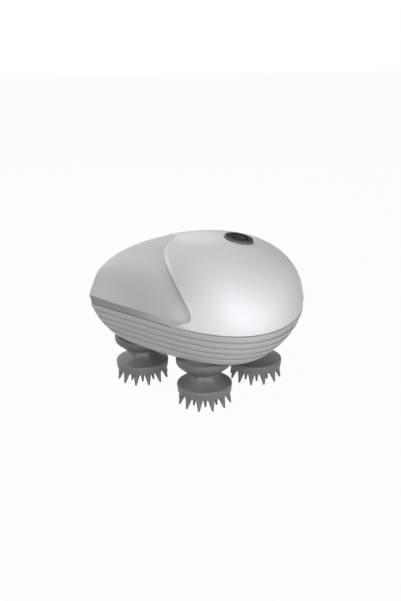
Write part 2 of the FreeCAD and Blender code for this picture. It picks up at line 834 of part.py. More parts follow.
def claw_head():
    low = float(S.claw_length)
    rim = float(DISC_TOP)
    wide = float(S.disc_radius)
    neck = float(S.neck_radius)
    band = Part.makeCone(wide - float(S.disc_taper), wide, rim - low, Vector(0, 0, low))
    edges = [edge for edge in band.Edges if edge.BoundBox.ZMin > rim - 1e-6]
    band = band.makeFillet(float(S.disc_round), edges)
    sections = []
    for i in range(FLARE_LEVELS):
        share = i / (FLARE_LEVELS - 1)
        radius = neck + (wide - float(S.disc_lip) - neck) * (1 - share) ** 2.2
        sections.append(rounded_hexagon(radius, 1 - share, rim + share * float(S.disc_flare)))
    flare = Part.makeLoft(sections, True, False)
    stalk_bottom = float(STALK_BOTTOM)
    stalk = Part.Face(rounded_hexagon(neck, 0, stalk_bottom))
    stalk = stalk.extrude(Vector(0, 0, float(S.head_height) - stalk_bottom))
    claws = []
    count = int(S.claw_count.value)
    for i in range(count):
        angle = 2 * math.pi * (i + 0.5) / count
        claws.append(claw(S.claw_tip_circle, S.claw_base_circle, S.claw_base_radius, angle))
    count = int(S.inner_claw_count.value)
    for i in range(count):
        angle = 2 * math.pi * i / count
        claws.append(claw(S.inner_tip_circle, S.inner_base_circle, S.inner_base_radius, angle))
    head = band.fuse([flare, stalk] + claws).removeSplitter()
    gap = float(S.fit_gap)
    roof = float(SOCKET_ROOF)
    socket = Part.Face(rounded_hexagon(float(S.output_shaft_radius) + gap, 0, roof - float(S.socket_depth)))
    bore = rod(float(S.output_shaft_radius) + gap, roof, float(S.head_height) + 1, (0, 0))
    head = head.cut([socket.extrude(Vector(0, 0, float(S.socket_depth))), bore])
    head.rotate(Vector(), Vector(0, 0, 1), float(S.head_turn))
    return head


# Pieces at each head's station

HEAD_SHAPE = claw_head()
NECK_HOLE = S.neck_radius + S.neck_gap
COLLAR_FOOT = NECK_HOLE + S.collar_foot
BOWL_TOP = COLLAR_MOUTH + S.underside_height * S.bowl_share
FOOT_ROUND = least(S.collar_foot_round, S.collar_foot * 0.6)
BOWL_ROUND = least(S.collar_round, S.underside_height * 0.4)
SHOULDER_ROUND = least(
    S.collar_shoulder_round, S.underside_height * 0.19, S.collar_radius - S.collar_top_radius - S.fit_gap
)
for station, angle in STATION_ANGLES.items():
    x, y = STATION_SPOTS[station]
    collar = turned(f"Collar_{station}", [
        (NECK_HOLE, COLLAR_MOUTH),
        (COLLAR_FOOT, COLLAR_MOUTH),
        (S.collar_radius, BOWL_TOP),
        (S.collar_radius, UNDERSIDE - S.fit_gap),
        (S.collar_top_radius, UNDERSIDE - S.fit_gap),
        (S.collar_top_radius, COLLAR_TOP),
        (S.spigot_radius, COLLAR_TOP),
        (S.spigot_radius, SPIGOT_TOP),
        (S.bush_radius, SPIGOT_TOP),
        (S.bush_radius, COLLAR_ROOF),
        (NECK_HOLE, COLLAR_ROOF),
    ])
    rounded_rim(collar, COLLAR_FOOT, COLLAR_MOUTH, FOOT_ROUND)
    rounded_rim(collar, S.collar_radius, BOWL_TOP, BOWL_ROUND)
    rounded_rim(collar, S.collar_radius, UNDERSIDE - S.fit_gap, SHOULDER_ROUND)
    node(move(collar, x, y), f"{station}_collar")

    lip = COLLAR_ROOF + S.lip_seal_thickness
    inner = S.output_shaft_radius + S.running_gap
    outer = S.bush_radius - S.running_gap
    seal = tube(f"Lip_seal_{station}", inner, outer, COLLAR_ROOF, lip)
    node(move(seal, x, y), f"{station}_lip_seal")
    bush = tube(f"Bush_{station}", inner, outer, lip, SPIGOT_TOP)
    node(move(bush, x, y), f"{station}_shaft_bush")

    shank = cylinder(f"Shank_{station}", S.output_shaft_radius, SOCKET_ROOF, CHASSIS_TOP - S.rest_gap, x, y)
    drive_end = hexagon(
        f"Drive_end_{station}", S.output_shaft_radius, SOCKET_ROOF - S.socket_depth + S.rest_gap, SOCKET_ROOF, x, y
    )
    node(fuse(f"Output_shaft_{station}", [shank, drive_end]), f"{station}_output_shaft")
    node(move(solid(f"Output_gear_{station}", output_gear(angle)), x, y), f"{station}_output_gear")
    node(move(solid(f"Claw_head_{station}", HEAD_SHAPE), x, y), f"{station}_claw_head")

# Shells, seal, chassis and drive

node(solid("Rear_hood", rear_hood()), "rear_hood")
node(solid("Front_panel", front_panel()), "front_panel")
node(solid("Front_strip", front_strip()), "front_strip")
node(solid("Lower_shell", lower_shell()), "lower_shell")
node(solid("Shell_seal", shell_seal()), "shell_seal")
node(solid("Chassis_plate", chassis_plate()), "chassis_plate")
node(move(solid("Drive_gear", drive_gear()), S.drive_x), "drive_gear")

bush_foot = DRIVE_BUSH_TOP - S.drive_bush_flange
drive_bush = turned("Drive_bush", [
    (S.drive_shaft_radius + S.running_gap, DRIVE_FOOT),
    (S.drive_bush_radius, DRIVE_FOOT),
    (S.drive_bush_radius, bush_foot),
    (S.drive_bush_radius + S.drive_bush_flange, bush_foot),
    (S.drive_bush_radius + S.drive_bush_flange, DRIVE_BUSH_TOP),
    (S.drive_shaft_radius + S.running_gap, DRIVE_BUSH_TOP),
])
node(move(drive_bush, S.drive_x), "drive_bush")
shaft_top = CHASSIS_TOP + S.motor_shaft_depth - S.rest_gap
drive_shaft = cylinder("Drive_shaft", S.drive_shaft_radius, DRIVE_FOOT + S.rest_gap, shaft_top, S.drive_x)
node(drive_shaft, "drive_shaft")

motor_bore = S.drive_shaft_radius + S.running_gap
motor_can = turned("Motor_can", [
    (motor_bore, CHASSIS_TOP),
    (S.motor_radius, CHASSIS_TOP),
    (S.motor_radius, CHASSIS_TOP + S.motor_length),
    (ORIGIN, CHASSIS_TOP + S.motor_length),
    (ORIGIN, CHASSIS_TOP + S.motor_shaft_depth),
    (motor_bore, CHASSIS_TOP + S.motor_shaft_depth),
])
move(motor_can, S.drive_x)
thread = CHASSIS_TOP + S.screw_reach / 2
pilots = []
for i, (x, y) in enumerate(MOTOR_SCREWS):
    pilots.append(cylinder(f"Motor_pilot_{i}", S.small_screw_radius + S.fit_gap, CHASSIS_TOP, thread + 1, x, y))
node(cut("Motor", motor_can, fuse("Motor_pilots", pilots)), "gear_motor")

battery = cylinder("Battery", S.battery_radius, ORIGIN, S.battery_length)
battery.Placement.Rotation = Rotation(Vector(1, 0, 0), -90)
node(move(battery, BATTERY_X, -S.battery_length / 2, BATTERY_AXIS), "battery_cell")

# Charging socket at the tail

board_x = SOCKET_FRONT - S.socket_overhang - S.charge_board_length / 2
charge_board = box(
    "Charge_board", S.charge_board_length, S.charge_board_width, S.charge_board_thickness,
    board_x, ORIGIN, CHASSIS_TOP,
)
node(charge_board, "charge_board")
socket_base = CHASSIS_TOP + S.charge_board_thickness
socket_can = box(
    "Socket_can", S.socket_length, S.socket_width, S.socket_height,
    SOCKET_FRONT - S.socket_length / 2, ORIGIN, socket_base,
)
mouth = box(
    "Socket_mouth", S.socket_length, S.socket_width - 2 * S.socket_wall, S.socket_height - 2 * S.socket_wall,
    SOCKET_FRONT - S.socket_length / 2 + S.socket_wall, ORIGIN, socket_base + S.socket_wall,
)
node(cut("Charge_socket", socket_can, mouth), "charge_socket")
node(solid("Port_plug", port_plug()), "port_plug")

# Power button, gasket, switch and circuit board, on the button's axis

button = turned("Button", [
    (ORIGIN, S.button_proud),
    (S.button_radius, S.button_proud),
    (S.button_radius, FLANGE_TOP),
    (S.flange_radius, FLANGE_TOP),
    (S.flange_radius, FLANGE_BOTTOM),
    (S.stem_radius, FLANGE_BOTTOM),
    (S.stem_radius, STEM_BOTTOM),
    (ORIGIN, STEM_BOTTOM),
])
gasket = tube("Gasket", S.button_radius + S.slide_gap, S.sleeve_radius, GASKET_BOTTOM, SLEEVE_BOTTOM)
plunger_foot = SWITCH_TOP - S.plunger_reach
plunger = cylinder("Plunger", S.plunger_radius, plunger_foot, STEM_BOTTOM)
switch_can = box("Switch_can", S.switch_width, S.switch_width, S.switch_height, ORIGIN, ORIGIN, BOARD_TOP)
switch_well = cylinder(
    "Switch_well", S.plunger_radius + S.slide_gap, plunger_foot - S.button_travel - S.rest_gap, SWITCH_TOP
)
switch = cut("Switch", switch_can, switch_well)
board_sheet = box("Board_sheet", S.board_length, S.board_width, S.board_thickness, ORIGIN, ORIGIN, BOARD_BOTTOM)
board_holes = []
board_screws = []
for i, (x, y) in enumerate(BOARD_SPOTS):
    board_holes.append(cylinder(
        f"Board_hole_{i}", S.small_screw_radius + S.slide_gap, BOARD_BOTTOM, BOARD_TOP, x, y
    ))
    head = cylinder(
        f"Board_screw_head_{i}", S.small_screw_head, BOARD_BOTTOM - S.screw_head_height, BOARD_BOTTOM, x, y
    )
    shank = cylinder(
        f"Board_screw_shank_{i}", S.small_screw_radius, BOARD_BOTTOM, BOARD_TOP + S.screw_reach / 3, x, y
    )
    board_screws.append(fuse(f"Board_screw_{i}", [head, shank]))
board = cut("Board", board_sheet, fuse("Board_holes", board_holes))
for item, label in (
    (button, "power_button"),
    (gasket, "button_gasket"),
    (plunger, "switch_plunger"),
    (switch, "key_switch"),
    (board, "circuit_board"),
    (group("Board_screws", board_screws), "board_screws"),
):
    holder = doc.addObject("Part::Compound", item.Name + "_placed")
    holder.Links = [item]
    holder.Placement = BUTTON_FRAME
    node(holder, label)


# Screws

def screw(name, spot, seat, tip, radius, head_radius):
    """A screw driven upwards, its head under the seat."""
    head = cylinder(f"{name}_head", head_radius, seat - S.screw_head_height, seat, *spot)
    shank = cylinder(f"{name}_shank", radius, seat, tip, *spot)
    return fuse(name, [head, shank])


def screw_set(name, spots, seat, tip, radius, head_radius):
    screws = [screw(f"{name}_{i}", spot, seat, tip, radius, head_radius) for i, spot in enumerate(spots)]
    return group(name, screws)


node(screw_set("Housing_screws", TAIL_POSTS, SCREW_SEAT, SCREW_TIP, S.screw_radius, S.screw_head_radius),
     "housing_screws")
node(screw_set("Panel_screws", NOSE_POSTS, CHASSIS_BOTTOM, SCREW_TIP, S.screw_radius, S.screw_head_radius),
     "panel_screws")
node(screw_set("Motor_screws", MOTOR_SCREWS, CHASSIS_BOTTOM, thread, S.small_screw_radius, S.small_screw_head),
     "motor_screws")

doc.recompute()
for item in doc.Objects:
    if {"Invalid", "Error"} & set(item.State):
        raise RuntimeError(f"{item.Label} failed: {item.State}")
os.makedirs("parts", exist_ok=True)
for item in NODES:
    if item.Shape.isNull() or not item.Shape.isValid():
        raise RuntimeError(f"{item.Label} has no valid shape")
    item.Shape.exportStep(f"parts/{item.Label}.step")
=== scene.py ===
"""Looks of a drop-shaped scalp massager: a pearl hood over a recessed grey nose panel, a ribbed grey base,
a round power button and four dark claw heads. Shapes are in millimetres, in the part's own frame."""

import json
import math

import bmesh
import bpy
import numpy as np
from mathutils import Matrix


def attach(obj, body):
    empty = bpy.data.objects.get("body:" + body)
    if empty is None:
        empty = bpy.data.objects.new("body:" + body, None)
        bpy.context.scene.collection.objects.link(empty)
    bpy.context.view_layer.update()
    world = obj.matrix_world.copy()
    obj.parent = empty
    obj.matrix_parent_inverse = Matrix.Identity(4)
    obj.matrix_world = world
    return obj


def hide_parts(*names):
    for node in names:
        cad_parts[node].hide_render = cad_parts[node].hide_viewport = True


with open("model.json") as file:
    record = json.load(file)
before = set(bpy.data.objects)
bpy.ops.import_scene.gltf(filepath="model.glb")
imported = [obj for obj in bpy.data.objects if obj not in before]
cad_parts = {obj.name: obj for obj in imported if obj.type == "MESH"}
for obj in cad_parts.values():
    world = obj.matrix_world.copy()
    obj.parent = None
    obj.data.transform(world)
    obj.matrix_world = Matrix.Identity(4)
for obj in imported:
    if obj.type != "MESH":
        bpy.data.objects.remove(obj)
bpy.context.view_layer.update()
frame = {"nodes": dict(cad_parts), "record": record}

MM = 0.001

# Housing sizes

LENGTH = 112.6
WIDTH = 97.4
SEAM = 42.3
DOME = 36.7
BELLY = 28.6
UNDERSIDE = 25.5
PLAN_POWERS = (1.32, 0.57)
CROWN_POWERS = (0.405, 0.38)
BELLY_POWERS = (0.70, 0.78)
CROWN_SQUARENESS = 2.19
BELLY_SQUARENESS = 3.05
NOSE_ROUND = 2.2
NOSE_ROUND_POWERS = (0.5, 6.0)

# Where the nose starts, and the flanks in radians from the crown, and over what run each eases in

NOSE_START = -40.0
NOSE_RUN = 16.0
CROWN_BAND = 0.1
CROWN_BLEND = 0.7

# Front edge of the hood seen from the side: x at the crown, then places of (x, z)

WAVE_CROWN = -9.6
WAVE_LOBE = (-14.7, SEAM + DOME - 4.5)
WAVE_FOOT = (-0.8, SEAM + 7.1)
WAVE_TOE = (-5.1, SEAM + 3.5)

# Hood: its rolled lip, the band of painted highlight along it, and the (inset, lift) rows of its rounded foot

LIP_LEAST = 0.06
LIP_GROWTH = 1.04
LIP_RUN = 9.0
LIP_WALL = 3.0
LIT_WIDTH = 1.8
LIT_START = 65.0
LIT_RUN = 8.0
LIP_ON_CROWN = 0.1
HOOD_FOOT = [(2.0, 0.12), (0.7, 0.12), (0.42, 0.2), (0.2, 0.36), (0.05, 0.58)]

# Panel: its gutter as (depth, reach), its dip at the nose, and the (inset, fall) rows of its lower edge

PANEL_START = 0.0006
PANEL_OVERLAP = 2.5
OVERLAP_SLOPE = 0.6
GUTTER_LEVEL = 0.1
GUTTER_SLOPE = (0.6, 12.0)
GUTTER_CHANNEL = (1.5, 3.0)
DIP_RUN = 7.0
LEDGE_DEPTH = 0.2
LEDGE_RUN = 0.8
NOSE_DIP = 0.75
NOSE_DIP_START = -28.0
NOSE_DIP_FOOT = 5.0
NOSE_DIP_RUN = 12.0
NOSE_DIP_LOSS = 0.9
# Painted shadow in the gutter: where it starts above the strip and eases in, and where and how much it fades
# towards the top
PAINTED_SHADOW_FOOT = 1.0
PAINTED_SHADOW_RUN = 5.0
PAINTED_SHADOW_TOP = 58.0
PAINTED_SHADOW_TOP_RUN = 16.0
PAINTED_SHADOW_TOP_LOSS = 0.75
PANEL_EDGE = [(0.06, 0.12), (0.25, 0.26), (0.6, 0.3), (1.6, 0.3)]

# Strip: its (rise, inset) rows run from the seam to the panel

STRIP_HEIGHT = 4.1
STRIP_TAPER = -21.0
STRIP_END = -9.0
STRIP_TIP = 0.9
STRIP_RAKE = 0.5
STRIP_GAP = 0.15
STRIP_RECESS = 0.5
STRIP_EDGE = [(0.0, 1.6), (0.0, 0.62), (0.04, STRIP_RECESS)]
STRIP_ROWS = STRIP_EDGE + [(rise, STRIP_RECESS) for rise in (0.25, 0.5, 0.75)]
STRIP_ROWS += [(1 - rise, inset) for rise, inset in reversed(STRIP_EDGE)]

# Base: (drop, inset) rows of its upper lip, and (rise, inset) rows of each groove between its ribs

BASE_LIP = [(0.15, 1.8), (0.15, 0.4), (0.25, 0.12), (0.45, 0.0)]
GROOVE_DROP = 3.45
GROOVE_PITCH = 3.05
GROOVE_COUNT = 4
GROOVE_DEPTH = 0.95
GROOVE_ROWS = [(0.48, 0.2), (0.22, 0.75), (0.0, GROOVE_DEPTH), (-0.2, 0.5), (-0.34, 0.1), (-0.42, 0.0)]
GROOVES = [SEAM - GROOVE_DROP - GROOVE_PITCH * i for i in range(GROOVE_COUNT)]
RIB_FOOT = 0.6
RIB_BULGE = 0.1
BASE_ROUND = 0.9
CHIN_DRAW = 0.75
CHIN_FOOT = 31.0
CHIN_RUN = 8.0

# Rubber plug on the tail, and its rows of (share of its half sizes, how proud it stands)

PLUG_HALF_WIDTH = 4.4
PLUG_HALF_HEIGHT = 1.6
PLUG_RISE = 3.2
PLUG_SQUARENESS = 6
PLUG_PROUD = 0.18
PLUG_ROWS = [(share, PLUG_PROUD) for share in (0.0, 0.3, 0.6, 0.85)]
PLUG_ROWS += [(0.94, 0.16), (0.985, 0.08), (1.0, 0.0), (1.0, -0.8)]

# Stations of the heads round the drive gear

DRIVE_X = 0.9
HEAD_CIRCLE = 30.5
SIDE_ANGLE = math.radians(82.5)
HEAD_TURN = math.radians(3.7)
STATIONS = {
    "nose": (DRIVE_X - HEAD_CIRCLE, 0.0),
    "near": (DRIVE_X + HEAD_CIRCLE * math.cos(SIDE_ANGLE), -HEAD_CIRCLE * math.sin(SIDE_ANGLE)),
    "tail": (DRIVE_X + HEAD_CIRCLE, 0.0),
    "far": (DRIVE_X + HEAD_CIRCLE * math.cos(SIDE_ANGLE), HEAD_CIRCLE * math.sin(SIDE_ANGLE)),
}

# Head sizes, up from the claw tips

CLAW_LENGTH = 6.1
CLAW_TIP = 0.45
CLAW_ROOT = 0.5
CLAW_FLARE = 0.15
CLAW_FLARE_POWER = 6
CLAW_RINGS = [
    {"count": 12, "offset": 15.0, "tip_circle": 13.4, "root_circle": 11.25, "root_radius": 2.1},
    {"count": 8, "offset": 0.0, "tip_circle": 8.2, "root_circle": 7.0, "root_radius": 1.4},
]
DISC_RADIUS = 14.1
DISC_LIP = 1.1
DISC_DRAFT = 0.5
DISC_ROUNDS = (1.0, 0.4)
DISC_TOP = CLAW_LENGTH + 4.6
FLARE_TOP = CLAW_LENGTH + 9.7
FLARE_POWER = 2.6
HEAD_TOP = 19.4
NECK_RADIUS = 7.0
HEX_FLAT = 0.065
HEX_CORNER = 0.012

# Collar sizes

COLLAR_RADIUS = 14.2
COLLAR_STEM = 9.2
COLLAR_MOUTH = FLARE_TOP + 1.7
COLLAR_FOOT = 2.0
COLLAR_SHOULDER = UNDERSIDE - 0.9
COLLAR_ROUNDS = (0.35, 0.4, 3.0, 1.6)
STEM_FOOT = UNDERSIDE + 0.4
STEM_TOP = UNDERSIDE + 2.0
MOUTH_GAP = 0.6
MOUTH_DEPTH = 2.5
BOWL_TOP = COLLAR_MOUTH + 0.5 * (UNDERSIDE - COLLAR_MOUTH)

# Button: (radius, sink) rows of its dished top and of the ring round it

BUTTON_X = 22.9
BUTTON_RADIUS = 7.35
BUTTON_PROUD = 1.0
BUTTON_SKIRT = 2.6
DISH_DEPTH = 0.16
DISH_CURVE = 0.0036
DISH_ROWS = [(0.0, DISH_DEPTH), (2.0, 0.15), (4.0, 0.11), (5.6, 0.04), (5.95, 0.03)]
RING_ROWS = [(6.05, 0.16), (6.25, 0.16), (6.35, 0.02)]
RIM_RADIUS = 6.5
RIM_ROUND = 0.4

# Power sign: its stroke has rows of (share of half its width, share of its height)

SIGN_RADIUS = 4.3
SIGN_HALF_TURN = 145
SIGN_BAR = (-5.3, 0.2)
SIGN_WIDTH = 0.95
SIGN_HEIGHT = 0.09
SIGN_SINK = 0.3
SIGN_ROWS = [(-1.0, -0.15), (-0.9, 0.6), (-0.6, 1.0), (0.6, 1.0), (0.9, 0.6), (1.0, -0.15)]

# Button's well in the hood: (wider, deeper) rows from its mouth down

WELL_MARGIN = 3.5
WELL_GAP = 0.25
WELL_STEPS = 12
WELL_MOUTH = 0.4
WELL_ROWS = [(0.15, 0.12), (0.0, 0.45), (0.0, 3.0)]

# How finely the meshes are divided, and how near points are welded, in metres

ARC_POINTS = 7
CURVE_POINTS = 40
HOOD_COLUMNS = 201
HOOD_ROWS = 131
LIP_ROWS = 8
PANEL_COLUMNS = 221
PANEL_ROWS = 121
PANEL_CROWDING = 1.8
STRIP_COLUMNS = 241
BASE_COLUMNS = 360
PLUG_COLUMNS = 96
TURNED_COLUMNS = 144
CLAW_COLUMNS = 18
BUTTON_COLUMNS = 128
WELD = 2e-6
SLIVER = 1e-7


# Meshes from grids of points

def grid_faces(rows, columns, closed, keep):
    """Quads between neighbours of a grid, wrapping round the columns where it is closed."""
    index = np.arange(rows * columns).reshape(rows, columns)
    if closed:
        index = np.concatenate([index, index[:, :1]], axis=1)
    quads = np.stack([index[:-1, :-1], index[:-1, 1:], index[1:, 1:], index[1:, :-1]], axis=-1)
    return quads[keep] if keep is not None else quads.reshape(-1, 4)


def build(name, grids, body, slot, *nodes, edges=None, finish=None):
    """One smooth piece from grids of (points, closed, kept quads), welded along shared rows and at its
    poles. Edges say, grid by grid, how near each point is to a lip or groove, which sets painted highlight
    and painted shade there. The finish is the slot's own unless another is given."""
    vertices, faces, count = [], [], 0
    for points, closed, keep in grids:
        rows, columns = points.shape[:2]
        vertices.append(points.reshape(-1, 3) * MM)
        faces.append(grid_faces(rows, columns, closed, keep) + count)
        count += rows * columns
    mesh = bpy.data.meshes.new(name)
    mesh.from_pydata(np.concatenate(vertices).tolist(), [], np.concatenate(faces).tolist())
    if edges:
        nearness = mesh.attributes.new("edge", "FLOAT", "POINT")
        nearness.data.foreach_set("value", np.concatenate([values.ravel() for values in edges]))
    work = bmesh.new()
    work.from_mesh(mesh)
    bmesh.ops.remove_doubles(work, verts=work.verts, dist=WELD)
    bmesh.ops.dissolve_degenerate(work, edges=work.edges, dist=SLIVER)
    loose = [vertex for vertex in work.verts if not vertex.link_faces]
    bmesh.ops.delete(work, geom=loose, context="VERTS")
    bmesh.ops.recalc_face_normals(work, faces=work.faces)
    work.to_mesh(mesh)
    work.free()
    mesh.shade_smooth()
    mesh.materials.append(finish or FINISHES[slot])
    piece = bpy.data.objects.new(name, mesh)
    bpy.context.scene.collection.objects.link(piece)
    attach(piece, body)
    if nodes:
        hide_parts(*nodes)


def revolve(profile, columns):
    """A profile of (radius, height) rows carried round the Z axis."""
    profile = np.asarray(profile, float)
    turn = np.linspace(0, 2 * np.pi, columns, endpoint=False)
    radius = profile[:, 0][:, None]
    height = np.broadcast_to(profile[:, 1][:, None], (len(profile), columns))
    return np.stack([radius * np.cos(turn), radius * np.sin(turn), height], axis=-1)


def rounded(corners):
    """A profile through corners of (radius, height, round), each round one turned into an arc that touches
    its two sides."""
    points = []
    for i, (radius, height, fillet) in enumerate(corners):
        spot = np.array([radius, height])
        if fillet == 0:
            points.append(spot)
            continue
        back = np.array(corners[i - 1][:2]) - spot
        ahead = np.array(corners[i + 1][:2]) - spot
        back = back / np.linalg.norm(back)
        ahead = ahead / np.linalg.norm(ahead)
        half = math.acos(np.clip(back @ ahead, -1, 1)) / 2
        middle = (back + ahead) / np.linalg.norm(back + ahead)
        centre = spot + middle * fillet / math.sin(half)
        first = spot + back / math.tan(half) * fillet - centre
        last = spot + ahead / math.tan(half) * fillet - centre
        swing = math.pi - 2 * half
        share = np.linspace(0, 1, ARC_POINTS)[:, None]
        arc = (np.sin((1 - share) * swing) * first + np.sin(share * swing) * last) / math.sin(swing)
        points.extend(centre + arc)
    return points


def ease(value):
    """A smooth step from 0 to 1."""
    share = np.clip(value, 0, 1)
    return share * share * (3 - 2 * share)


def bezier(poles):
    """Points of a Bezier curve: its poles weighted by Bernstein polynomials."""
    share = np.linspace(0, 1, CURVE_POINTS)[:, None]
    last = len(poles) - 1
    weights = [math.comb(last, i) * share ** i * (1 - share) ** (last - i) for i in range(last + 1)]
    return sum(weight * np.asarray(pole, float) for weight, pole in zip(weights, poles))


def solve(function, low, high):
    """Where an array function changes sign between low and high, by halving."""
    for _ in range(40):
        middle = (low + high) / 2
        same = np.sign(function(low)) == np.sign(function(middle))
        low = np.where(same, middle, low)
        high = np.where(same, high, middle)
    return middle


# Housing surface: superellipse sections that swell from the nose and fall to the tail

def swell(share, powers):
    """share^a (1 - share)^b, scaled to a peak of one."""
    nose, tail = powers
    peak = nose / (nose + tail)
    return (share / peak) ** nose * ((1 - share) / (1 - peak)) ** tail


def half_width(share, inset):
    """Half width of the plan, with a little more roundness at the tip of the nose."""
    tip = NOSE_ROUND * swell(share, NOSE_ROUND_POWERS) * (1 - 2 * inset / WIDTH)
    return (WIDTH / 2 - inset) * swell(share, PLAN_POWERS) + tip


def crown_rise(share, inset):
    """Height of the crown over the seam."""
    return (DOME - inset) * swell(share, CROWN_POWERS)


def belly_drop(share, inset):
    """Depth of the whole belly under the seam, before the underside cuts it flat."""
    return (BELLY - inset) * swell(share, BELLY_POWERS)


def along(share, inset):
    """X at a share of the length."""
    return (share - 0.5) * (LENGTH - 2 * inset)


def nose_share(x, start=NOSE_START):
    """0 behind the nose, easing to 1 towards its tip."""
    return ease((start - x) / NOSE_RUN)


def flank_share(turn):
    """0 along the crown, easing to 1 down the flanks."""
    return ease((np.abs(turn - np.pi / 2) - CROWN_BAND) / CROWN_BLEND)


def dome_point(share, turn, inset=0.0):
    """Point of the dome: y = -w cos^(2/n) turn, z = seam + h sin^(2/n) turn, from near seam to far seam."""
    cosine, sine = np.cos(turn), np.sin(turn)
    power = 2 / CROWN_SQUARENESS
    y = -half_width(share, inset) * np.sign(cosine) * np.abs(cosine) ** power
    z = SEAM + crown_rise(share, inset) * np.clip(sine, 0, 1) ** power
    return np.stack(np.broadcast_arrays(along(share, inset), y, z), axis=-1)


def dome_height(x, y):
    """Height of the dome's outside over a spot, from its section's superellipse."""
    share = x / LENGTH + 0.5
    fullness = 1 - (np.abs(y) / half_width(share, 0)) ** CROWN_SQUARENESS
    return SEAM + crown_rise(share, 0) * np.clip(fullness, 0, 1) ** (1 / CROWN_SQUARENESS)


def belly_ring(level, inset):
    """Closed outlines of the belly at heights under the seam, shares spaced by a cosine from tip to tip."""
    depth = (SEAM - level)[:, None]
    inset = inset[:, None]
    inside = np.full_like(depth, 0.45)
    nose = solve(lambda share: belly_drop(share, inset) - depth, np.zeros_like(depth), inside)
    tail = solve(lambda share: belly_drop(share, inset) - depth, np.ones_like(depth), inside)
    turn = np.linspace(0, 2 * np.pi, BASE_COLUMNS, endpoint=False)
    share = nose + (tail - nose) * (1 - np.cos(turn)) / 2
    reach = np.maximum(belly_drop(share, inset), 1e-9)
    fullness = np.clip(1 - (depth / reach) ** BELLY_SQUARENESS, 0, 1) ** (1 / BELLY_SQUARENESS)
    y = -np.sign(np.sin(turn)) * half_width(share, inset) * fullness
    z = np.broadcast_to(SEAM - depth, share.shape)
    return np.stack([along(share, inset), y, z], axis=-1)


def wave_line():
    """The hood's front edge seen from the side, from its end at the seam up to the crown."""
    top = SEAM + crown_rise(WAVE_CROWN / LENGTH + 0.5, 0)
    lobe_x, lobe_z = WAVE_LOBE
    shoulder = lobe_x + (WAVE_CROWN - lobe_x) / 10, top - (top - lobe_z) / 6
    bend = (lobe_z - WAVE_FOOT[1]) / 6
    curves = [
        bezier([(WAVE_CROWN, top), shoulder, WAVE_LOBE]),
        bezier([WAVE_LOBE, (lobe_x, lobe_z - bend), (WAVE_FOOT[0], WAVE_FOOT[1] + bend), WAVE_FOOT]),
        bezier([WAVE_FOOT, (WAVE_FOOT[0], WAVE_TOE[1]), WAVE_TOE]),
        bezier([WAVE_TOE, (STRIP_END, SEAM)]),
    ]
    return np.concatenate(curves)[::-1]


WAVE = wave_line()


def wave_x(height):
    """X of the hood's front edge at a height."""
    return np.interp(height, WAVE[:, 1], WAVE[:, 0])


def wave_share(turn):
    """Share of the length at which each line of the dome meets the hood's front edge."""
    low = np.full_like(turn, 0.3)
    high = np.full_like(turn, 0.6)
    return solve(lambda share: along(share, 0) - wave_x(dome_point(share, turn)[..., 2]), low, high)


def crown_frame():
    """Origin and axes of the button on the crown: its own x down the slope, y across and z outwards."""
    step = 1e-3
    share = BUTTON_X / LENGTH + 0.5
    slope = (crown_rise(share + step, 0) - crown_rise(share - step, 0)) / (2 * step * LENGTH)
    tilt = -math.atan(slope)
    origin = np.array([BUTTON_X, 0, SEAM + crown_rise(share, 0)])
    axes = np.array([
        [math.cos(tilt), 0, -math.sin(tilt)],
        [0, 1, 0],
        [math.sin(tilt), 0, math.cos(tilt)],
    ])
    return origin, axes


BUTTON_ORIGIN, BUTTON_AXES = crown_frame()


def on_crown(points):
    """Points given in the button's own axes, moved onto the crown."""
    return BUTTON_ORIGIN + points @ BUTTON_AXES


# Housing pieces

def hood_skin():
    """The hood's points, and how strongly the lip's painted highlight covers each. Rows run from the rolled
    front edge to the tail, columns from the near seam over the crown to the far one, rounded in at both feet."""
    foot_inset, foot_lift = np.array(HOOD_FOOT).T
    over = np.linspace(0, np.pi, HOOD_COLUMNS)[1:-1]
    turn = np.concatenate([0 * foot_inset, over, 0 * foot_inset + np.pi])
    tuck = np.concatenate([foot_inset, 0 * over, foot_inset[::-1]])
    lift = np.concatenate([foot_lift, 0 * over, foot_lift[::-1]])
    edge = wave_share(turn)
    flank = flank_share(turn)
    climb = ease((dome_point(edge, turn)[:, 2] - WAVE_TOE[1]) / LIP_RUN)
    roll = LIP_LEAST + LIP_GROWTH * climb * (LIP_ON_CROWN + (1 - LIP_ON_CROWN) * flank)
    arc = np.radians(np.linspace(0, 90, LIP_ROWS))[:, None]
    front = edge + roll * (1 - np.cos(arc)) / LENGTH
    run = np.linspace(0, 1, HOOD_ROWS)[1:, None]
    back = front[-1] + (1 - front[-1]) * (1 - (1 - run) ** 3)
    share = np.concatenate([edge[None], front, back])
    wall = np.full((1, len(turn)), LIP_WALL)
    inset = np.concatenate([wall, roll * (1 - np.sin(arc)), 0 * back]) + tuck
    points = dome_point(share, turn, inset)
    points[..., 2] += lift * swell(share, CROWN_POWERS)
    # Painted highlight: a pale band along the lip, stronger on the upper flanks than on the crown
    behind = np.clip(share - edge, 0, None) * LENGTH
    high = ease((points[..., 2] - LIT_START) / LIT_RUN) * flank
    lit = np.exp(-(behind / LIT_WIDTH) ** 2) * (LIP_ON_CROWN + (1 - LIP_ON_CROWN) * high)
    return points, lit


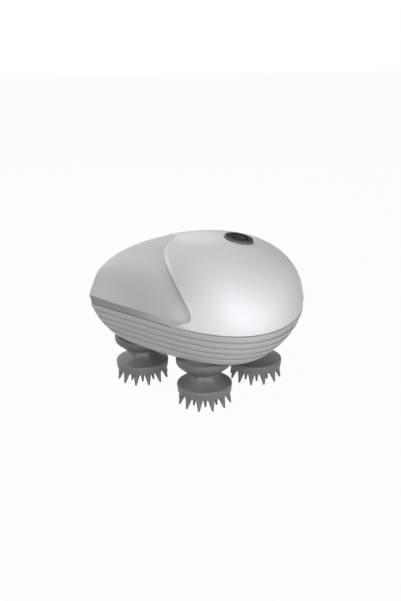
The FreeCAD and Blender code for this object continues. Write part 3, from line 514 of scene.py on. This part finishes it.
def button_well(points):
    """Which quads of the hood stay round the button, and a grid from that opening down into its well."""
    spot = np.hypot(points[..., 0] - BUTTON_X, points[..., 1])
    inside = (spot < BUTTON_RADIUS + WELL_MARGIN) & (points[..., 2] > SEAM + DOME / 2)
    rows = np.flatnonzero(inside.any(axis=1))
    columns = np.flatnonzero(inside.any(axis=0))
    top, bottom, left, right = rows[0], rows[-1], columns[0], columns[-1]
    keep = np.ones((points.shape[0] - 1, points.shape[1] - 1), bool)
    keep[top:bottom, left:right] = False
    rim = np.concatenate([
        points[top, left:right],
        points[top:bottom, right],
        points[bottom, right:left:-1],
        points[bottom:top:-1, left],
    ])
    bearing = np.arctan2(rim[:, 1], rim[:, 0] - BUTTON_X)
    rows = [(share, WELL_MOUTH, 0.0) for share in np.linspace(0, 1, WELL_STEPS)]
    rows += [(1.0, wider, deep) for wider, deep in WELL_ROWS]
    mix, wider, depth = (np.array(values)[:, None] for values in zip(*rows))
    radii = BUTTON_RADIUS + WELL_GAP + wider
    slope = BUTTON_AXES[0, 0]
    x = (1 - mix) * rim[:, 0] + mix * (BUTTON_X + radii * np.cos(bearing) * slope)
    y = (1 - mix) * rim[:, 1] + mix * radii * np.sin(bearing)
    well = np.stack([x, y, dome_height(x, y)], axis=-1) - depth[..., None] * BUTTON_AXES[2]
    well[0] = rim
    return keep, well


def hood_grids():
    """The hood's skin, open round the button, and the button's well, with the painted highlight of each."""
    points, lit = hood_skin()
    keep, well = button_well(points)
    return [(points, False, keep), (well, True, None)], [lit, 0 * well[..., 0]]


def strip_top(x):
    """Height of the strip over the seam: a little more at the nose, then level, then down to nothing."""
    taper = ease((x - STRIP_TAPER) / (STRIP_END - STRIP_TAPER))
    return STRIP_HEIGHT * (1 - taper) + STRIP_TIP * nose_share(x)


def panel_grids():
    """The panel's skin, and the painted shadow of each point in the gutter. Rows run from the nose to under
    the hood's edge. The skin dips towards that edge and at the nose, less along the crown and by the strip."""
    across = (1 - np.cos(np.linspace(0, np.pi, PANEL_COLUMNS))) / 2
    stop = wave_share(np.pi * across) + PANEL_OVERLAP / LENGTH
    run = np.linspace(0, 1, PANEL_ROWS)[:, None] ** PANEL_CROWDING
    share = PANEL_START + (stop - PANEL_START) * run
    x = along(share, 0)
    level = np.clip(strip_top(x) / crown_rise(share, 0), 0, 1)
    low = np.arcsin(level ** (CROWN_SQUARENESS / 2))
    turn = low + (np.pi - 2 * low) * across
    height = dome_point(share, turn)[..., 2] - SEAM - strip_top(x)
    flank = flank_share(turn)
    ahead = (stop - share) * LENGTH - PANEL_OVERLAP
    before = np.clip(ahead, 0, None)
    nose = NOSE_DIP * nose_share(x, NOSE_DIP_START)
    nose = nose * (1 - NOSE_DIP_LOSS * ease((height - NOSE_DIP_FOOT) / NOSE_DIP_RUN))
    gutter = GUTTER_LEVEL
    for depth, reach in (GUTTER_SLOPE, GUTTER_CHANNEL):
        gutter = gutter + depth * np.exp(-before / reach)
    dip = (nose + gutter * flank) * ease(height / DIP_RUN) + LEDGE_DEPTH * ease(height / LEDGE_RUN)
    inset = dip + OVERLAP_SLOPE * np.clip(-ahead, 0, None)
    points = dome_point(share, turn, inset)
    columns = [points]
    for deep, fall in PANEL_EDGE:
        near = dome_point(share[:, :1], turn[:, :1], inset[:, :1] + deep)
        far = dome_point(share[:, -1:], turn[:, -1:], inset[:, -1:] + deep)
        near[..., 2] -= fall
        far[..., 2] -= fall
        columns = [near] + columns + [far]
    # Painted shadow in the gutter next to the hood's edge
    shade = np.exp(-before / GUTTER_CHANNEL[1]) * flank * ease((height - PAINTED_SHADOW_FOOT) / PAINTED_SHADOW_RUN)
    shade = shade * (1 - PAINTED_SHADOW_TOP_LOSS * ease((points[..., 2] - PAINTED_SHADOW_TOP) / PAINTED_SHADOW_TOP_RUN))
    margin = len(PANEL_EDGE)
    shade = np.concatenate([shade[:, :1]] * margin + [shade] + [shade[:, -1:]] * margin, axis=1)
    return [(np.concatenate(columns, axis=1), False, None)], [shade]


def strip_grids():
    """Columns run from the near end round the nose to the far end, rows from the seam up to the panel."""
    side = np.linspace(-1, 1, STRIP_COLUMNS)
    rise, inset = (np.array(values)[:, None] for values in zip(*STRIP_ROWS))
    tall = strip_top(-LENGTH / 2) * rise
    inside = np.full_like(tall, 0.4)
    nose = solve(lambda share: crown_rise(share, inset) - tall, np.zeros_like(tall), inside)
    nose = np.where(rise > 0, nose, 0.0)
    share = nose + (STRIP_END / LENGTH + 0.5 - nose) * side ** 2
    height = rise * strip_top(along(share, inset))
    reach = np.maximum(crown_rise(share, inset), 1e-9)
    full = np.clip(1 - (height / reach) ** CROWN_SQUARENESS, 0, 1)
    y = np.sign(side) * half_width(share, inset) * full ** (1 / CROWN_SQUARENESS)
    x = along(share, inset)
    x = x + STRIP_RAKE * (1 - rise) * nose_share(x)
    return [(np.stack([x, y, SEAM + STRIP_GAP + height], axis=-1), False, None)]


def base_grids():
    """The base's skin, and how deep each point lies in a groove, which sets painted shade there. Rows run
    down from the seam over the ribs, round the lower edge and across the flat underside. The chin under the
    nose is drawn back a little."""
    rows = [(SEAM - drop, inset) for drop, inset in BASE_LIP]
    bulge = RIB_BULGE * np.linspace(0, 1, 7)[1:] ** 2
    for groove in GROOVES:
        rib = np.linspace(rows[-1][0], groove + RIB_FOOT, 7)[1:]
        rows += list(zip(rib, bulge))
        rows += [(groove + rise, inset) for rise, inset in GROOVE_ROWS]
    skirt = np.linspace(rows[-1][0], UNDERSIDE + BASE_ROUND, 6)[1:]
    rows += [(level, 0.0) for level in skirt]
    bend = np.radians(np.linspace(0, 90, 6))[1:]
    rows += list(zip(UNDERSIDE + BASE_ROUND - BASE_ROUND * np.sin(bend), BASE_ROUND * (1 - np.cos(bend))))
    level, inset = np.array(rows).T
    wall = belly_ring(level, inset)
    chin = nose_share(wall[..., 0]) * ease((wall[..., 2] - CHIN_FOOT) / CHIN_RUN)
    wall[..., 0] += CHIN_DRAW * chin
    shrink = np.linspace(1, 0, 9)[1:, None]
    floor = np.repeat(wall[-1:], len(shrink), axis=0)
    floor[..., 1] *= shrink
    # Painted shade in the grooves, by their depth; none on the lower round and underside
    deep = np.clip(inset / GROOVE_DEPTH, 0, 1)
    deep[-len(bend):] = 0
    deep = np.concatenate([deep, 0 * shrink[:, 0]])
    return [(np.concatenate([wall, floor]), True, None)], [np.repeat(deep, wall.shape[1])]


def plug_grids():
    """A rounded rubber cover on the tail: a squared circle laid on the dome, a little proud of it."""
    turn = np.linspace(0, 2 * np.pi, PLUG_COLUMNS, endpoint=False)
    power = PLUG_SQUARENESS
    squared = (np.cos(turn) ** power + np.sin(turn) ** power) ** (-1 / power)
    reach, proud = (np.array(values)[:, None] for values in zip(*PLUG_ROWS))
    y = PLUG_HALF_WIDTH * reach * squared * np.cos(turn)
    z = SEAM + PLUG_RISE + PLUG_HALF_HEIGHT * reach * squared * np.sin(turn)
    low = np.full_like(y, 0.7)
    high = np.full_like(y, 0.99999)
    share = solve(lambda share: dome_height(along(share, 0), y) - z, low, high)
    return [(np.stack([along(share, 0) + proud, y, z], axis=-1), True, None)]


# Claw heads and collars

def collar_grids(spot):
    """A deep rounded bowl with sloping shoulders, closed round the neck's hole."""
    mouth = NECK_RADIUS + MOUTH_GAP
    profile = rounded([
        (mouth, COLLAR_MOUTH + MOUTH_DEPTH, 0),
        (mouth, COLLAR_MOUTH, COLLAR_ROUNDS[0]),
        (mouth + COLLAR_FOOT, COLLAR_MOUTH, COLLAR_ROUNDS[1]),
        (COLLAR_RADIUS, BOWL_TOP, COLLAR_ROUNDS[2]),
        (COLLAR_RADIUS, COLLAR_SHOULDER, COLLAR_ROUNDS[3]),
        (COLLAR_STEM, STEM_FOOT, 0),
        (COLLAR_STEM, STEM_TOP, 0),
    ])
    return [(revolve(profile, TURNED_COLUMNS) + np.array([*spot, 0.0]), True, None)]


def soft_hexagon(turn, radius, roundness):
    """Radius of a hexagon with soft corners on a circle, blended into that circle by roundness."""
    flat = HEX_FLAT * (1 - np.cos(6 * turn)) + HEX_CORNER * (1 - np.cos(12 * turn))
    return radius * (1 - (1 - roundness) * flat)


def disc_grid():
    """Neck, flare, rim and underside of a head: down the flare a soft hexagon turns into a circle."""
    lip = DISC_RADIUS - DISC_LIP
    up = np.linspace(1, 0, 26)[:-1]
    flare = NECK_RADIUS + (lip - NECK_RADIUS) * (1 - up) ** FLARE_POWER
    rows = [(NECK_RADIUS, HEAD_TOP, 0.0), (NECK_RADIUS, FLARE_TOP + 0.5, 0.0)]
    rows += list(zip(flare, DISC_TOP + (FLARE_TOP - DISC_TOP) * up, 1 - up))
    rim = rounded([
        (lip - 1, DISC_TOP, 0),
        (DISC_RADIUS, DISC_TOP, DISC_ROUNDS[0]),
        (DISC_RADIUS - DISC_DRAFT, CLAW_LENGTH, DISC_ROUNDS[1]),
        (0, CLAW_LENGTH, 0),
    ])
    rows += [(radius, height, 1.0) for radius, height in rim[1:]]
    radius, height, roundness = (np.array(values)[:, None] for values in zip(*rows))
    turn = np.linspace(0, 2 * np.pi, TURNED_COLUMNS, endpoint=False)
    reach = soft_hexagon(turn, radius, roundness)
    height = np.broadcast_to(height, reach.shape)
    return np.stack([reach * np.cos(turn), reach * np.sin(turn), height], axis=-1)


def claw_grid(ring, bearing):
    """A leaning spike of a ring: its radius grows from a round tip and flares where it meets the disc."""
    nub = CLAW_TIP * (1 - np.cos(np.linspace(0, np.pi / 2, 6)))
    up = np.concatenate([nub, np.linspace(CLAW_TIP, CLAW_LENGTH + CLAW_ROOT, 15)[1:]])
    blunt = np.sqrt(np.clip(1 - (1 - np.clip(up / CLAW_TIP, 0, 1)) ** 2, 0, 1))
    rise = up / CLAW_LENGTH
    growth = (1 - CLAW_FLARE) * rise + CLAW_FLARE * rise ** CLAW_FLARE_POWER
    radius = blunt * (CLAW_TIP + (ring["root_radius"] - CLAW_TIP) * growth)
    reach = ring["tip_circle"] + (ring["root_circle"] - ring["tip_circle"]) * rise
    turn = np.linspace(0, 2 * np.pi, CLAW_COLUMNS, endpoint=False)
    outward = reach[:, None] + radius[:, None] * np.cos(turn)
    sideways = radius[:, None] * np.sin(turn)
    x = outward * math.cos(bearing) - sideways * math.sin(bearing)
    y = outward * math.sin(bearing) + sideways * math.cos(bearing)
    return np.stack([x, y, np.broadcast_to(up[:, None], x.shape)], axis=-1)


def head_grids(spot):
    """A head's disc and its two rings of claws, turned a little and moved to their station."""
    grids = [disc_grid()]
    for ring in CLAW_RINGS:
        pitch = 360 / ring["count"]
        grids += [claw_grid(ring, math.radians(pitch * i + ring["offset"])) for i in range(ring["count"])]
    turn = np.array([
        [math.cos(HEAD_TURN), math.sin(HEAD_TURN), 0],
        [-math.sin(HEAD_TURN), math.cos(HEAD_TURN), 0],
        [0, 0, 1],
    ])
    return [(points @ turn + np.array([*spot, 0.0]), True, None) for points in grids]


# Button

def button_grids():
    """A shallow dished cap with a fine ring near its rim, and the skirt under it."""
    profile = [(radius, BUTTON_PROUD - sink) for radius, sink in DISH_ROWS + RING_ROWS]
    rim = rounded([
        (RIM_RADIUS, BUTTON_PROUD, 0),
        (BUTTON_RADIUS, BUTTON_PROUD, RIM_ROUND),
        (BUTTON_RADIUS, -BUTTON_SKIRT, 0),
    ])
    cap = [(on_crown(revolve(profile + rim[:-2], BUTTON_COLUMNS)), True, None)]
    skirt = [(on_crown(revolve(rim[-3:], BUTTON_COLUMNS)), True, None)]
    return cap, skirt


def stroke(path):
    """A low ridge of the sign with rounded shoulders, along a path on the button's dished top."""
    step = np.gradient(path, axis=0)
    step /= np.linalg.norm(step, axis=1)[:, None]
    side = np.stack([-step[:, 1], step[:, 0]], axis=-1)
    across, up = np.array(SIGN_ROWS).T
    flat = path[:, None, :] + side[:, None, :] * (SIGN_WIDTH / 2 * across)[None, :, None]
    bowl = -DISH_DEPTH + DISH_CURVE * (flat ** 2).sum(axis=-1)
    points = np.concatenate([flat, (BUTTON_PROUD + bowl + SIGN_HEIGHT * up)[..., None]], axis=-1)
    ends = [points[:1].copy(), points[-1:].copy()]
    for end in ends:
        end[..., 2] -= SIGN_SINK
    return on_crown(np.concatenate([ends[0], points, ends[1]]))


def power_sign_grids():
    """A generic power sign: an arc open towards the nose and a bar through its opening."""
    turn = np.radians(np.linspace(-SIGN_HALF_TURN, SIGN_HALF_TURN, 60))
    arc = SIGN_RADIUS * np.stack([np.cos(turn), np.sin(turn)], axis=-1)
    bar = np.stack([np.linspace(*SIGN_BAR, 12), np.zeros(12)], axis=-1)
    return [(stroke(path), False, None) for path in (arc, bar)]


# Finishes

class Wire:
    """An output in a material's nodes. Sums, differences and products of wires and numbers are Math nodes."""

    def __init__(self, tree, socket=None):
        self.tree = tree
        self.socket = socket

    def add(self, kind, settings, sockets, out=0):
        """Add a node of a kind, with its settings first and then its sockets' values or wires."""
        node = self.tree.nodes.new(kind)
        for name, value in settings.items():
            setattr(node, name, value)
        for key, value in sockets.items():
            if isinstance(value, Wire):
                self.tree.links.new(value.socket, node.inputs[key])
            else:
                node.inputs[key].default_value = value
        return Wire(self.tree, node.outputs[out] if node.outputs else None)

    def math(self, operation, first, second):
        """A Math node on two values or wires."""
        return self.add("ShaderNodeMath", {"operation": operation}, {0: first, 1: second})

    def __add__(self, other):
        return self.math("ADD", self, other)

    def __sub__(self, other):
        return self.math("SUBTRACT", self, other)

    def __mul__(self, other):
        return self.math("MULTIPLY", self, other)

    def __radd__(self, other):
        return self.math("ADD", other, self)

    def __rsub__(self, other):
        return self.math("SUBTRACT", other, self)

    def __rmul__(self, other):
        return self.math("MULTIPLY", other, self)

    def mixed(self, first, second):
        """Two colours mixed by this value."""
        settings = {"data_type": "RGBA"}
        return self.add("ShaderNodeMix", settings, {0: self, 6: first, 7: second}, 2)


def blank_material(name):
    """A material without nodes, and a wire to add them with."""
    material = bpy.data.materials.new(name)
    material.use_nodes = True
    material.node_tree.nodes.clear()
    return material, Wire(material.node_tree)


def noise(wires, place, scale, detail):
    """Noise from 0 to 1 over a place."""
    sockets = {"Vector": place, "Scale": scale, "Detail": detail, "Roughness": 0.55}
    return wires.add("ShaderNodeTexNoise", {}, sockets)


def grey(level, tint=(1.0, 1.0, 1.0)):
    """An opaque colour: a level of grey times a tint."""
    return (level * tint[0], level * tint[1], level * tint[2], 1.0)


def painted_shading_mask(wires):
    """How near a point is to a lip or groove, as its mesh says: the mask of painted highlight and shade."""
    return wires.add("ShaderNodeAttribute", {"attribute_name": "edge"}, {}, "Fac")


def fade(wires, place, *steps):
    """A product of smooth steps from 0 to 1, each with its axis and the places where it starts and ends."""
    share = 1.0
    for axis, start, stop in steps:
        spot = wires.add("ShaderNodeSeparateXYZ", {}, {"Vector": place}, axis)
        sockets = {"Value": spot, "From Min": MM * start, "From Max": MM * stop}
        share = share * wires.add("ShaderNodeMapRange", {"interpolation_type": "SMOOTHSTEP"}, sockets)
    return share


# Tints, shades, levels of painted light and shade, and scales of the patterns

COOL = (1.0, 1.0, 1.025)
LILAC = (1.0, 0.995, 1.032)
PEARL = 0.77
PANEL = 0.50
STRIP = 0.275
# Grey of the painted highlight along the hood's lip
LIP_PAINTED_HIGHLIGHT = 0.94
CLOUD_SCALE = 38.0
CLOUDING = 0.06
GLOSS_SPREAD = 0.06
# Grey of the painted shade in gutters and grooves, as a share of the plastic's grey
PAINTED_GROOVE_LEVEL = 0.3
PEARL_CLOUD_SCALE = 24.0
PEARL_CLOUDING = 0.04
FLAKE_SCALE = 2600.0
# Levels of painted shade and painted highlight on the hood, as shares of its pearl grey
PAINTED_SHADE = 0.72
PAINTED_HIGHLIGHT = 1.25


def moulded(name, shade, roughness, grain, depth, tint=COOL, shine=0.5, fades=(), painted_groove_shade=0.0):
    """Moulded plastic or rubber: a little cloudiness, a fine eroded grain and an uneven gloss. Each fade
    blends in another grey over its steps, here as painted light and shade, and painted shade darkens the
    colour along lips and grooves."""
    material, wires = blank_material(name)
    place = wires.add("ShaderNodeTexCoord", {}, {}, "Object")
    cloud = noise(wires, place, CLOUD_SCALE, 3.0)
    fine = noise(wires, place, grain, 2.0)
    mottled = 0.7 * cloud + 0.3 * fine
    colour = mottled.mixed(grey(shade * (1 - CLOUDING), tint), grey(shade * (1 + CLOUDING), tint))
    # Fades here carry painted light and shade
    for other, *steps in fades:
        colour = fade(wires, place, *steps).mixed(colour, grey(other, tint))
    # Painted shade along gutters and grooves
    if painted_groove_shade:
        colour = (painted_groove_shade * painted_shading_mask(wires)).mixed(colour, grey(PAINTED_GROOVE_LEVEL * shade, tint))
    gloss = (roughness - GLOSS_SPREAD) + 2 * GLOSS_SPREAD * mottled
    bump = wires.add("ShaderNodeBump", {}, {"Strength": 0.35, "Distance": depth * MM, "Height": fine})
    sockets = {"Base Color": colour, "Roughness": gloss, "Normal": bump, "Specular IOR Level": shine}
    surface = wires.add("ShaderNodeBsdfPrincipled", {}, sockets)
    wires.add("ShaderNodeOutputMaterial", {}, {"Surface": surface})
    return material


def pearl(name):
    """Pearl lacquer: a pale base with fine flakes that differ in brightness and gloss. Painted shade darkens
    it near the front edge and at the toe, and painted highlight makes it paler on the crown and along the
    lip."""
    material, wires = blank_material(name)
    place = wires.add("ShaderNodeTexCoord", {}, {}, "Object")
    flakes = wires.add("ShaderNodeTexVoronoi", {}, {"Vector": place, "Scale": FLAKE_SCALE}, "Color")
    flake = wires.add("ShaderNodeSeparateColor", {}, {"Color": flakes})
    cloud = noise(wires, place, PEARL_CLOUD_SCALE, 2.0)
    shade = 0.6 * cloud + 0.4 * flake
    darkest = grey((1 - PEARL_CLOUDING) * PEARL, LILAC)
    lightest = grey((1 + PEARL_CLOUDING) * PEARL, LILAC)
    colour = shade.mixed(darkest, lightest)
    # Painted shade: darker near the front edge below the upper flanks, and at the toe; painted highlight:
    # paler at the top of the crown
    beside = fade(wires, place, ("X", 20, -14), ("Z", SEAM + 5, SEAM + 21))
    above = fade(wires, place, ("Z", 66, 80))
    toe = fade(wires, place, ("X", -2, -9), ("Z", SEAM + 6, SEAM + 3))
    crown = fade(wires, place, ("Z", 77.2, 79.4))
    for share, level in [(beside * (1 - above), PAINTED_SHADE), (toe, PAINTED_SHADE), (crown, PAINTED_HIGHLIGHT)]:
        colour = share.mixed(colour, grey(level * PEARL, LILAC))
    # Painted highlight along the hood's lip
    colour = (0.9 * painted_shading_mask(wires)).mixed(colour, grey(LIP_PAINTED_HIGHLIGHT, LILAC))
    gloss = 0.46 + 0.08 * flake
    bump = wires.add("ShaderNodeBump", {}, {"Strength": 0.12, "Distance": 0.02 * MM, "Height": flake})
    sockets = {"Base Color": colour, "Roughness": gloss, "Normal": bump, "Metallic": 0.1}
    sockets.update({"Specular IOR Level": 0.12, "IOR": 1.45})
    surface = wires.add("ShaderNodeBsdfPrincipled", {}, sockets)
    wires.add("ShaderNodeOutputMaterial", {}, {"Surface": surface})
    return material


def machined(name, colour, roughness):
    """Machined metal: fine turning marks that change its gloss."""
    material, wires = blank_material(name)
    place = wires.add("ShaderNodeTexCoord", {}, {}, "Object")
    stretched = wires.add("ShaderNodeMapping", {}, {"Vector": place, "Scale": (60.0, 60.0, 2400.0)})
    marks = noise(wires, stretched, 3.0, 3.0)
    dark = tuple(0.85 * value for value in colour) + (1.0,)
    tone = marks.mixed(dark, tuple(colour) + (1.0,))
    sockets = {"Base Color": tone, "Roughness": (roughness - 0.1) + 0.2 * marks, "Metallic": 1.0}
    surface = wires.add("ShaderNodeBsdfPrincipled", {}, sockets)
    wires.add("ShaderNodeOutputMaterial", {}, {"Surface": surface})
    return material


# Finishes by name: shades in linear light, grain as a noise scale per metre, its depth in millimetres

# Painted light and shade on the panel: paler towards the nose, towards the top and near the hood's toe; just
# above the seam by the toe it darkens to a pearl grey, partly the hood's tone carried on and partly painted
# shade
PANEL_PAINTED_SHADING = [
    (1.18 * PANEL, ("X", -24, -54)),
    (1.3 * PANEL, ("Z", 58, 77)),
    (1.25 * PANEL, ("X", -14, -5), ("Z", SEAM + 16, SEAM + 6)),
    (0.6 * PEARL, ("X", -20, -10), ("Z", SEAM + 4.8, SEAM + 2.2)),
]
# Painted light and shade along the strip: its grey eases into the panel's towards its end
STRIP_PAINTED_SHADING = [(PANEL, ("X", -36, -6))]
MOULDED = {
    "grey_panel": dict(
        shade=PANEL, roughness=0.42, grain=1500, depth=0.03, shine=0.4, fades=PANEL_PAINTED_SHADING, painted_groove_shade=0.6
    ),
    "strip_grey": dict(shade=STRIP, roughness=0.45, grain=1500, depth=0.03, fades=STRIP_PAINTED_SHADING),
    "ribbed_grey": dict(shade=0.44, roughness=0.48, grain=1400, depth=0.04, painted_groove_shade=0.45),
    "dark_plastic": dict(shade=0.115, roughness=0.45, grain=1300, depth=0.03),
    "dark_silicone": dict(shade=0.165, roughness=0.5, grain=1200, depth=0.04),
    "seal_rubber": dict(shade=0.3, roughness=0.6, grain=1200, depth=0.04),
    "gear_plastic": dict(shade=0.7, roughness=0.5, grain=1000, depth=0.03, tint=(1.0, 0.98, 0.92)),
    "chassis_plastic": dict(shade=0.06, roughness=0.55, grain=1000, depth=0.03),
    "battery_sleeve": dict(shade=0.4, roughness=0.3, grain=800, depth=0.02, tint=(0.2, 0.5, 1.0)),
    "board_green": dict(shade=0.2, roughness=0.4, grain=900, depth=0.02, tint=(0.2, 1.0, 0.45)),
    "switch_black": dict(shade=0.03, roughness=0.5, grain=900, depth=0.02),
    "button_charcoal": dict(shade=0.058, roughness=0.6, grain=1600, depth=0.03, shine=0.02),
    "button_skirt": dict(shade=0.1, roughness=0.5, grain=1600, depth=0.02),
    "sign_black": dict(shade=0.008, roughness=0.7, grain=1600, depth=0.02, shine=0.0),
}
MACHINED = {
    "bush_bronze": dict(colour=(0.62, 0.45, 0.24), roughness=0.35),
    "steel": dict(colour=(0.6, 0.6, 0.62), roughness=0.3),
    "motor_steel": dict(colour=(0.66, 0.66, 0.67), roughness=0.35),
}
FINISHES = {"pearl_shell": pearl("pearl_shell")}
FINISHES.update({name: moulded(name, **look) for name, look in MOULDED.items()})
FINISHES.update({name: machined(name, **look) for name, look in MACHINED.items()})

# Pieces on their bodies

grids, edges = hood_grids()
build("hood_skin", grids, "housing", "pearl_shell", "rear_hood", edges=edges)
grids, edges = panel_grids()
build("panel_skin", grids, "housing", "grey_panel", "front_panel", edges=edges)
build("strip_skin", strip_grids(), "housing", "strip_grey", "front_strip")
grids, edges = base_grids()
build("base_skin", grids, "housing", "ribbed_grey", "lower_shell", edges=edges)
build("plug_skin", plug_grids(), "housing", "seal_rubber", "port_plug")
for station, spot in STATIONS.items():
    build(f"{station}_bowl", collar_grids(spot), "housing", "dark_plastic", f"{station}_collar")
    build(f"{station}_claws", head_grids(spot), f"{station}_head", "dark_silicone", f"{station}_claw_head")
cap, skirt = button_grids()
build("button_cap", cap, "button", "button_charcoal", "power_button")
build("button_skirt", skirt, "button", "button_charcoal", finish=FINISHES["button_skirt"])
build("power_sign", power_sign_grids(), "button", "button_charcoal", finish=FINISHES["sign_black"])

for part in frame["record"]["subparts"]:
    item = frame["nodes"][part["node"]]
    item.data.materials.clear()
    item.data.materials.append(FINISHES[part["material_slot"]])


# Floor, light and camera

FLOOR_HALF = 1600.0
FLOOR_LINES = 9
FLOOR_DROP = 0.05
FLOOR_GREY = 0.5
FLOOR_WHITE = 0.97
AMBIENT = 0.06
HEART = (5.0, -15.0, 45.0)
LAMPS = {
    "front_box": dict(place=(20, -650, 165), size=(520, 400), power=2.5),
    "high_box": dict(place=(60, -450, 450), size=(420, 300), power=0.95),
    "right_box": dict(place=(520, -380, 120), size=(420, 300), power=1.05),
    "back_box": dict(place=(-60, 500, 380), size=(520, 300), power=0.68),
    "left_box": dict(place=(-480, 220, 330), size=(420, 300), power=1.2),
}

# Viewpoint of the photograph: its frame, focal length and optical centre in pixels

PHOTO_WIDTH = 401
PHOTO_HEIGHT = 601
PHOTO_FOCAL = 869.037
PHOTO_CENTRE = (197.481, 306.183)
CAMERA_BEARING = math.radians(2.518)
CAMERA_ELEVATION = math.radians(20.616)
CAMERA_ROLL = -0.023
CAMERA_DISTANCE = 459.213
CAMERA_TARGET = (0.878, 0.0, 40.0)
SENSOR = 36.0


def straight_rays(wires):
    """One for rays from the camera or from gloss, nought for rays of soft light."""
    kinds = ("Is Camera Ray", "Is Glossy Ray", "Is Transmission Ray")
    camera, glossy, through = (wires.add("ShaderNodeLightPath", {}, {}, kind) for kind in kinds)
    return camera + glossy + through


def floor_card():
    """Pale card that still takes a shadow. Rays from the camera and from gloss see it mostly as white."""
    material, wires = blank_material("floor_card")
    card = wires.add("ShaderNodeBsdfDiffuse", {}, {"Color": grey(FLOOR_GREY)})
    white = wires.add("ShaderNodeEmission", {}, {"Color": grey(1.0), "Strength": 1.0})
    share = FLOOR_WHITE * straight_rays(wires)
    surface = wires.add("ShaderNodeMixShader", {}, {0: share, 1: card, 2: white})
    wires.add("ShaderNodeOutputMaterial", {}, {"Surface": surface})
    return material


def floor_sheet():
    """A broad flat sheet under the claw tips."""
    side = np.linspace(-FLOOR_HALF, FLOOR_HALF, FLOOR_LINES)
    x, y = np.meshgrid(side, side)
    points = np.stack([x, y, np.full_like(x, -FLOOR_DROP)], axis=-1)
    mesh = bpy.data.meshes.new("floor_sheet")
    faces = grid_faces(FLOOR_LINES, FLOOR_LINES, False, None)
    mesh.from_pydata((points.reshape(-1, 3) * MM).tolist(), [], faces.tolist())
    mesh.materials.append(floor_card())
    sheet = bpy.data.objects.new("floor_sheet", mesh)
    bpy.context.scene.collection.objects.link(sheet)


def studio_world():
    """A white surround that gives only a little soft light."""
    world = bpy.data.worlds.new("studio")
    world.use_nodes = True
    world.node_tree.nodes.clear()
    wires = Wire(world.node_tree)
    strength = AMBIENT + (1 - AMBIENT) * straight_rays(wires)
    sky = wires.add("ShaderNodeBackground", {}, {"Color": grey(1.0), "Strength": strength})
    wires.add("ShaderNodeOutputWorld", {}, {"Surface": sky})
    bpy.context.scene.world = world


def stand(item, side, up, back, place):
    """Put an item at a place in millimetres, with its own axes along side, up and back."""
    rows = zip(np.stack([side, up, back], 1), place)
    item.matrix_world = Matrix([[*row, MM * spot] for row, spot in rows] + [[0, 0, 0, 1]])
    bpy.context.scene.collection.objects.link(item)


def softbox(name, place, size, power):
    """A rectangular lamp at a place in millimetres, facing the heart of the object."""
    lamp = bpy.data.lights.new(name, "AREA")
    lamp.shape = "RECTANGLE"
    lamp.size = size[0] * MM
    lamp.size_y = size[1] * MM
    lamp.energy = power
    back = np.array(place, float) - np.array(HEART, float)
    back /= np.linalg.norm(back)
    side = np.cross((0, 0, 1), back)
    side /= np.linalg.norm(side)
    stand(bpy.data.objects.new(name, lamp), side, np.cross(back, side), back, place)


def photo_camera():
    """The photograph's viewpoint, from its bearing, elevation, roll, distance and focal length."""
    back = np.array([
        math.sin(CAMERA_BEARING) * math.cos(CAMERA_ELEVATION),
        -math.cos(CAMERA_BEARING) * math.cos(CAMERA_ELEVATION),
        math.sin(CAMERA_ELEVATION),
    ])
    level = np.array([math.cos(CAMERA_BEARING), math.sin(CAMERA_BEARING), 0.0])
    upright = np.cross(back, level)
    side = math.cos(CAMERA_ROLL) * level + math.sin(CAMERA_ROLL) * upright
    up = -math.sin(CAMERA_ROLL) * level + math.cos(CAMERA_ROLL) * upright
    lens = bpy.data.cameras.new("photo_camera")
    lens.sensor_fit = "AUTO"
    lens.sensor_width = SENSOR
    lens.lens = PHOTO_FOCAL * SENSOR / PHOTO_HEIGHT
    lens.shift_x = (PHOTO_WIDTH / 2 - PHOTO_CENTRE[0]) / PHOTO_HEIGHT
    lens.shift_y = (PHOTO_CENTRE[1] - PHOTO_HEIGHT / 2) / PHOTO_HEIGHT
    lens.clip_start = 0.01
    camera = bpy.data.objects.new("photo_camera", lens)
    stand(camera, side, up, back, back * CAMERA_DISTANCE + np.array(CAMERA_TARGET))
    bpy.context.scene.camera = camera


floor_sheet()
studio_world()
for name, lamp in LAMPS.items():
    softbox(name, **lamp)
photo_camera()
bpy.context.scene.view_settings.view_transform = "Standard"
